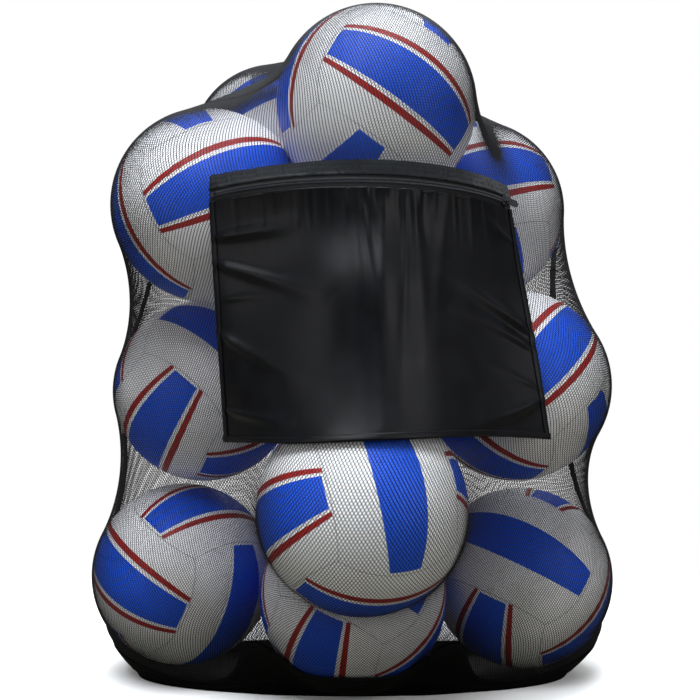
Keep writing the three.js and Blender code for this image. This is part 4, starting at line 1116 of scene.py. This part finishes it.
def thick_sheet(grid, outward, thickness):
    """Points and faces of a closed sheet: the grid, its back and the edge between them."""
    rows, columns = grid.shape[:2]
    back = grid - outward * thickness
    faces = [grid_faces(rows, columns), grid_faces(rows, columns, start=rows * columns)[:, ::-1],
             rim_faces(rows, columns)]
    return np.concatenate([grid.reshape(-1, 3), back.reshape(-1, 3)]), np.concatenate(faces)


def rim_faces(rows, columns):
    """Quads that close the edge between a grid sheet and the sheet stored after it."""
    edge = [(0, i) for i in range(columns)] + [(j, columns - 1) for j in range(1, rows)]
    edge += [(rows - 1, i) for i in range(columns - 2, -1, -1)] + [(j, 0) for j in range(rows - 2, 0, -1)]
    index = np.array([j * columns + i for j, i in edge])
    after = np.roll(index, -1)
    back = rows * columns
    return np.stack([after, index, index + back, after + back], -1)


def build_pocket_hems(cloth, outward):
    left, right = HEM_LINE, -1 - HEM_LINE
    runs = {
        "pocket_hem_left": (cloth[:, left], cloth[:, HEM_INNER] - cloth[:, left], outward[:, left]),
        "pocket_hem_right": (cloth[:, right], cloth[:, right] - cloth[:, -1 - HEM_INNER], outward[:, right]),
        "pocket_hem_bottom": (cloth[HEM_LINE], cloth[HEM_INNER] - cloth[HEM_LINE], outward[HEM_LINE]),
    }
    for node, (path, across, out) in runs.items():
        path, across, out = path[::2], unit(across)[::2], out[::2]
        path = path + out * HEM_LIFT
        points, faces, uvs = band_solid(path, across, out, POCKET_HEM / 2, HEM_THICKNESS, HEM_CROWN)
        place(mesh_piece(f"{node}_fold", points, faces, NYLON, uvs), "nylon", node)
        line = path + across * POCKET_HEM * HEM_STITCH_SHARE + out * HEM_STITCH_LIFT
        place_stitching(f"{node}_stitching", "nylon", [(line, out)])


TOP_BAND_GRID = (361, 13)
TOP_BAND_HEIGHT, TOP_BAND_THICKNESS = 15.0 * MM, 1.0 * MM
COARSE_GATHER, FINE_GATHER = 0.9 * MM, 0.6 * MM
TOP_BAND_ROLL, TOP_BAND_RIPPLE = 0.9 * MM, 0.35 * MM


def build_top_band():
    """The gathered strip of doubled cloth above the zip."""
    columns, rows = TOP_BAND_GRID
    s = np.linspace(0, 1, columns)
    low = on_zip(SEWN_LEFT + (SEWN_RIGHT - SEWN_LEFT) * s, SEWN_OUT, TAPE_HIGH + SEWN_GAP)
    high = low + np.array([0, 0, TOP_BAND_HEIGHT])
    high[:, 1] = np.array([net_front(p[0], p[2]) for p in high]) - POCKET_LIFT
    t = np.linspace(0, 1, rows)[:, None, None]
    sheet = low[None] * (1 - t) + high[None] * t
    across, up = np.gradient(sheet, axis=1), np.gradient(sheet, axis=0)
    outward = unit(np.cross(across, up))
    share = np.linspace(0, 1, rows)[:, None]
    gather = COARSE_GATHER * soft_noise(s * 110 + 1.5 * share, 31)
    gather = gather + FINE_GATHER * soft_noise(s * 190 - share, 33)
    roll = TOP_BAND_ROLL * np.sin(math.pi * share) + TOP_BAND_RIPPLE * np.sin(6 * math.pi * share)
    sheet = sheet + outward * (gather * (0.4 + 0.6 * np.sin(math.pi * share)) + roll)[..., None]
    points, faces = thick_sheet(sheet, outward, TOP_BAND_THICKNESS)
    length = (ZIP_RIGHT - ZIP_LEFT) * ZIP_RADIUS
    u, v = np.meshgrid(s * length, np.linspace(0, TOP_BAND_HEIGHT, rows))
    uvs = np.stack([u, v], -1).reshape(-1, 2)
    band = mesh_piece("pocket_band_gathers", points, faces, BAND_CLOTH, np.concatenate([uvs, uvs]))
    place(band, "nylon", "pocket_top_band")


# ---- Neck and cord ------------------------------------------------------------------------

CORD_RADIUS, CORD_BRAID = 2.5 * MM, 0.2 * MM
HEM_OUTER, HEM_TUBE, HEM_RUFFLE = 6.5 * MM, 5.4 * MM, 0.9 * MM
HEM_OPENING = math.radians(90)      # gap at the back, where the cord comes out


def hem_ruffle(turn, along):
    return HEM_RUFFLE * np.sin(along * 1150 + 1.2 * np.sin(turn)) * (0.7 + 0.3 * np.cos(turn))


def cord_braid(turn, along):
    return CORD_BRAID * np.abs(np.sin(4 * turn + along * 1200)) * np.abs(np.sin(4 * turn - along * 1200))


def build_neck():
    """The hem round the bag's mouth, and the drawcord that runs through it and down the back."""
    ring = half_size("neck_hem").x - HEM_OUTER
    angles = math.pi / 2 + HEM_OPENING / 2 + (2 * math.pi - HEM_OPENING) * np.linspace(0, 1, 120)
    path = np.stack([NECK_CENTRE.x + ring * np.cos(angles), NECK_CENTRE.y + ring * np.sin(angles),
                     0 * angles + NECK_CENTRE.z], -1)
    points, faces, uvs = tube_solid(path, HEM_TUBE, 20, hem_ruffle)
    place(mesh_piece("neck_hem_ruffle", points, faces, NYLON, uvs), "nylon", "neck_hem")

    left, right = middle("cord_end_left"), middle("cord_end_right")
    x, tail_y = (left.x + right.x) / 2, left.y
    hem_z = NECK_CENTRE.z

    def tail(side):
        tail_x = x + side * (right.x - left.x) / 2
        shoulder_y = NECK_CENTRE.y + ring + 32 * MM
        return [(tail_x, tail_y, left.z), (tail_x, tail_y, (left.z + 0.64) / 2), (tail_x, tail_y, 0.62),
                (tail_x, tail_y, 0.64), (tail_x, tail_y - 12 * MM, 0.682),
                (tail_x - 2 * MM, tail_y - 55 * MM, hem_z - 22 * MM),
                (0.4 * x + side * 8 * MM, shoulder_y, hem_z + 3 * MM)]

    around = path[::8]
    line = np.array(tail(-1) + around.tolist() + tail(1)[::-1])
    points, faces, uvs = tube_solid(catmull(line, 900), CORD_RADIUS - 0.15 * MM, 16, cord_braid)
    place(mesh_piece("drawcord_braid", points, faces, CORD_YARN, uvs), "cord", "drawcord")


LOCK_SPRING_TURNS, LOCK_SPRING_WIRE = 4, 0.30 * MM


def build_lock_spring():
    """The cord lock's coil spring, built at its rest length; in the real lock it shortens as the button is
    pressed.
    """
    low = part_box("cord_lock_spring")[0]
    centre, half = middle("cord_lock_spring"), half_size("cord_lock_spring")
    along = np.linspace(0, 1, 24 * LOCK_SPRING_TURNS)
    turn = 2 * math.pi * LOCK_SPRING_TURNS * along
    reach = half.z - LOCK_SPRING_WIRE
    start, length = low.x + LOCK_SPRING_WIRE, 2 * (half.x - LOCK_SPRING_WIRE)
    path = np.stack([start + length * along, centre.y + reach * np.cos(turn),
                     centre.z + reach * np.sin(turn)], -1)
    points, faces, uvs = tube_solid(path, LOCK_SPRING_WIRE, 8)
    coil = mesh_piece("cord_lock_spring_wire", points, faces, STEEL, uvs)
    place(coil, "steel", "cord_lock_spring", body="cord_lock")
    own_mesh(coil)


# ---- Strap --------------------------------------------------------------------------------


STRAP_CLIP = 8 * MM         # half the height of a sewn end
STRAP_TURN, STRAP_SWELL = 52 * MM, 6 * MM       # where the strap leaves the bag, and its slack there
STRAP_THICKNESS = 2.0 * MM
STRAIGHT_HEIGHTS = (0.47, 0.44, 0.22, 0.19)     # heights on the straight run that the adjuster needs


def build_strap():
    low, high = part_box("strap_webbing")
    x = (low.x + high.x) / 2
    straight_y = middle("strap_adjuster").y
    swing = joint("strap_swing")
    top = np.array(swing["pos_m"])
    axis = np.array(swing["axis"])
    bottom_z = low.z + STRAP_CLIP
    bottom_y = top[1] - axis[1] / axis[2] * (top[2] - bottom_z)
    line = [(x, top[1], top[2] + STRAP_CLIP), (x, top[1], top[2] - STRAP_CLIP),
            (x, (top[1] + straight_y) / 2 + STRAP_SWELL, top[2] - STRAP_TURN),
            *[(x, straight_y, height) for height in STRAIGHT_HEIGHTS],
            (x, (bottom_y + straight_y) / 2 + STRAP_SWELL, bottom_z + STRAP_TURN),
            (x, bottom_y, bottom_z + STRAP_CLIP), (x, bottom_y, bottom_z - STRAP_CLIP)]
    path = catmull(np.array(line), 240)
    direction = tangents(path)
    across = np.tile(np.array([1.0, 0, 0]), (len(path), 1))
    outward = unit(np.cross(across, direction))
    half_width = half_size("strap_webbing").x
    points, faces, uvs = band_solid(path, across, outward, half_width, STRAP_THICKNESS, columns=13)
    weave = mesh_piece("strap_weave", points, faces, WEBBING_CLOTH, uvs)
    place(weave, "webbing", "strap_webbing", body="strap")


# ---- Scene --------------------------------------------------------------------------------

FOCAL_SHARE = 1.81          # focal length over the frame's width
CAMERA_TILT = math.radians(4)
CAMERA_TARGET = Vector((0, 0.012, 0.385))
CAMERA_DISTANCE = 1.5


def build_camera():
    data = bpy.data.cameras.new("camera")
    data.sensor_width = 36
    data.lens = 36 * FOCAL_SHARE
    data.shift_x = -0.003
    camera = bpy.data.objects.new("camera", data)
    forward = Vector((0, math.cos(CAMERA_TILT), -math.sin(CAMERA_TILT)))
    camera.location = CAMERA_TARGET - forward * CAMERA_DISTANCE
    camera.rotation_euler = (math.radians(90) - CAMERA_TILT, 0, 0)
    bpy.context.scene.collection.objects.link(camera)
    bpy.context.scene.camera = camera


def soft_light(name, place_at, aim, size, power, tint=(1, 1, 1)):
    data = bpy.data.lights.new(name, "AREA")
    data.shape = "RECTANGLE"
    data.size, data.size_y = size
    data.energy = power
    data.color = tint
    light = bpy.data.objects.new(name, data)
    light.location = place_at
    light.rotation_euler = (Vector(aim) - Vector(place_at)).to_track_quat("-Z", "Y").to_euler()
    bpy.context.scene.collection.objects.link(light)


def build_studio():
    floor = mesh_piece("floor", [(-30, -30, 0), (30, -30, 0), (30, 30, 0), (-30, 30, 0)], [[0, 1, 2, 3]],
                       floor_material(), smooth=False)
    floor.location.z = -0.0004
    world = bpy.data.worlds.new("studio")
    world.use_nodes = True
    tree = world.node_tree
    background = tree.nodes["Background"]
    path = add(tree, "ShaderNodeLightPath")
    where = add(tree, "ShaderNodeTexCoord")
    split = add(tree, "ShaderNodeSeparateXYZ", {0: where.outputs["Generated"]})
    sky = add(tree, "ShaderNodeMapRange", {"Value": split.outputs[2], 1: -0.1, 2: 0.9, 3: 0.12, 4: 0.56})
    seen = math_node(tree, "MULTIPLY_ADD", path.outputs["Is Camera Ray"],
                     math_node(tree, "SUBTRACT", 1.0, sky.outputs[0]), sky.outputs[0])
    tree.links.new(seen, background.inputs["Strength"])
    background.inputs["Color"].default_value = (1, 1, 1, 1)
    bpy.context.scene.world = world
    soft_light("key", (-0.45, -1.45, 2.9), (0, -0.05, 0.35), (1.8, 1.5), 172, (0.93, 0.96, 1.0))
    soft_light("overhead", (0.2, 0.1, 2.3), (0, 0, 0.4), (1.4, 1.2), 76, (0.90, 0.95, 1.0))
    soft_light("front_right", (1.7, -1.4, 0.9), (0.05, -0.1, 0.4), (0.8, 1.2), 20)
    soft_light("front_left", (-1.7, -1.7, 0.7), (-0.1, -0.1, 0.25), (0.9, 0.9), 16)
    soft_light("back_rim", (0.6, 1.8, 1.5), (0, 0, 0.45), (1.2, 1.0), 12)


def floor_material():
    """A pale floor: white to the eye, darker for bounced light."""
    material, tree, shader = new_material("pale_floor")
    path = add(tree, "ShaderNodeLightPath")
    where = add(tree, "ShaderNodeTexCoord")
    away = add(tree, "ShaderNodeVectorMath", {0: where.outputs["Object"]}, operation="LENGTH")
    far = add(tree, "ShaderNodeMapRange", {"Value": away.outputs["Value"], 1: 0.40, 2: 0.75},
              interpolation_type="SMOOTHSTEP")
    glow = add(tree, "ShaderNodeEmission", {"Color": (1, 1, 1, 1), "Strength": 1.0})
    shader.inputs["Base Color"].default_value = (0.8, 0.8, 0.8, 1)
    shader.inputs["Roughness"].default_value = 0.9
    both = add(tree, "ShaderNodeMixShader", {0: far.outputs[0], 1: shader.outputs[0], 2: glow.outputs[0]})
    dim = add(tree, "ShaderNodeBsdfDiffuse", {"Color": (0.17, 0.165, 0.13, 1)})
    mix = add(tree, "ShaderNodeMixShader", {0: path.outputs["Is Camera Ray"], 1: dim.outputs[0],
                                            2: both.outputs[0]})
    tree.links.new(mix.outputs[0], tree.nodes["Material Output"].inputs["Surface"])
    return material


build_balls()
build_net()
build_side_binding("side_binding_right", 0)
build_side_binding("side_binding_left", LEFT_SEAM)
build_base()
build_zip()
build_pocket()
build_neck()
build_strap()
dress_cad(["zip_slider", "zip_pull", "zip_stop_left", "zip_stop_right"], DARK_PLATING, 0.25 * MM)
dress_cad(["cord_lock_body", "cord_lock_button", "cord_end_left", "cord_end_right", "strap_adjuster"],
          BLACK_PLASTIC, 0.8 * MM)
build_lock_spring()
dress_cad(["strap_anchor_top", "strap_anchor_bottom"], WEBBING_CLOTH, 0.4 * MM)
build_studio()
build_camera()
bpy.context.scene.view_settings.view_transform = "Standard"
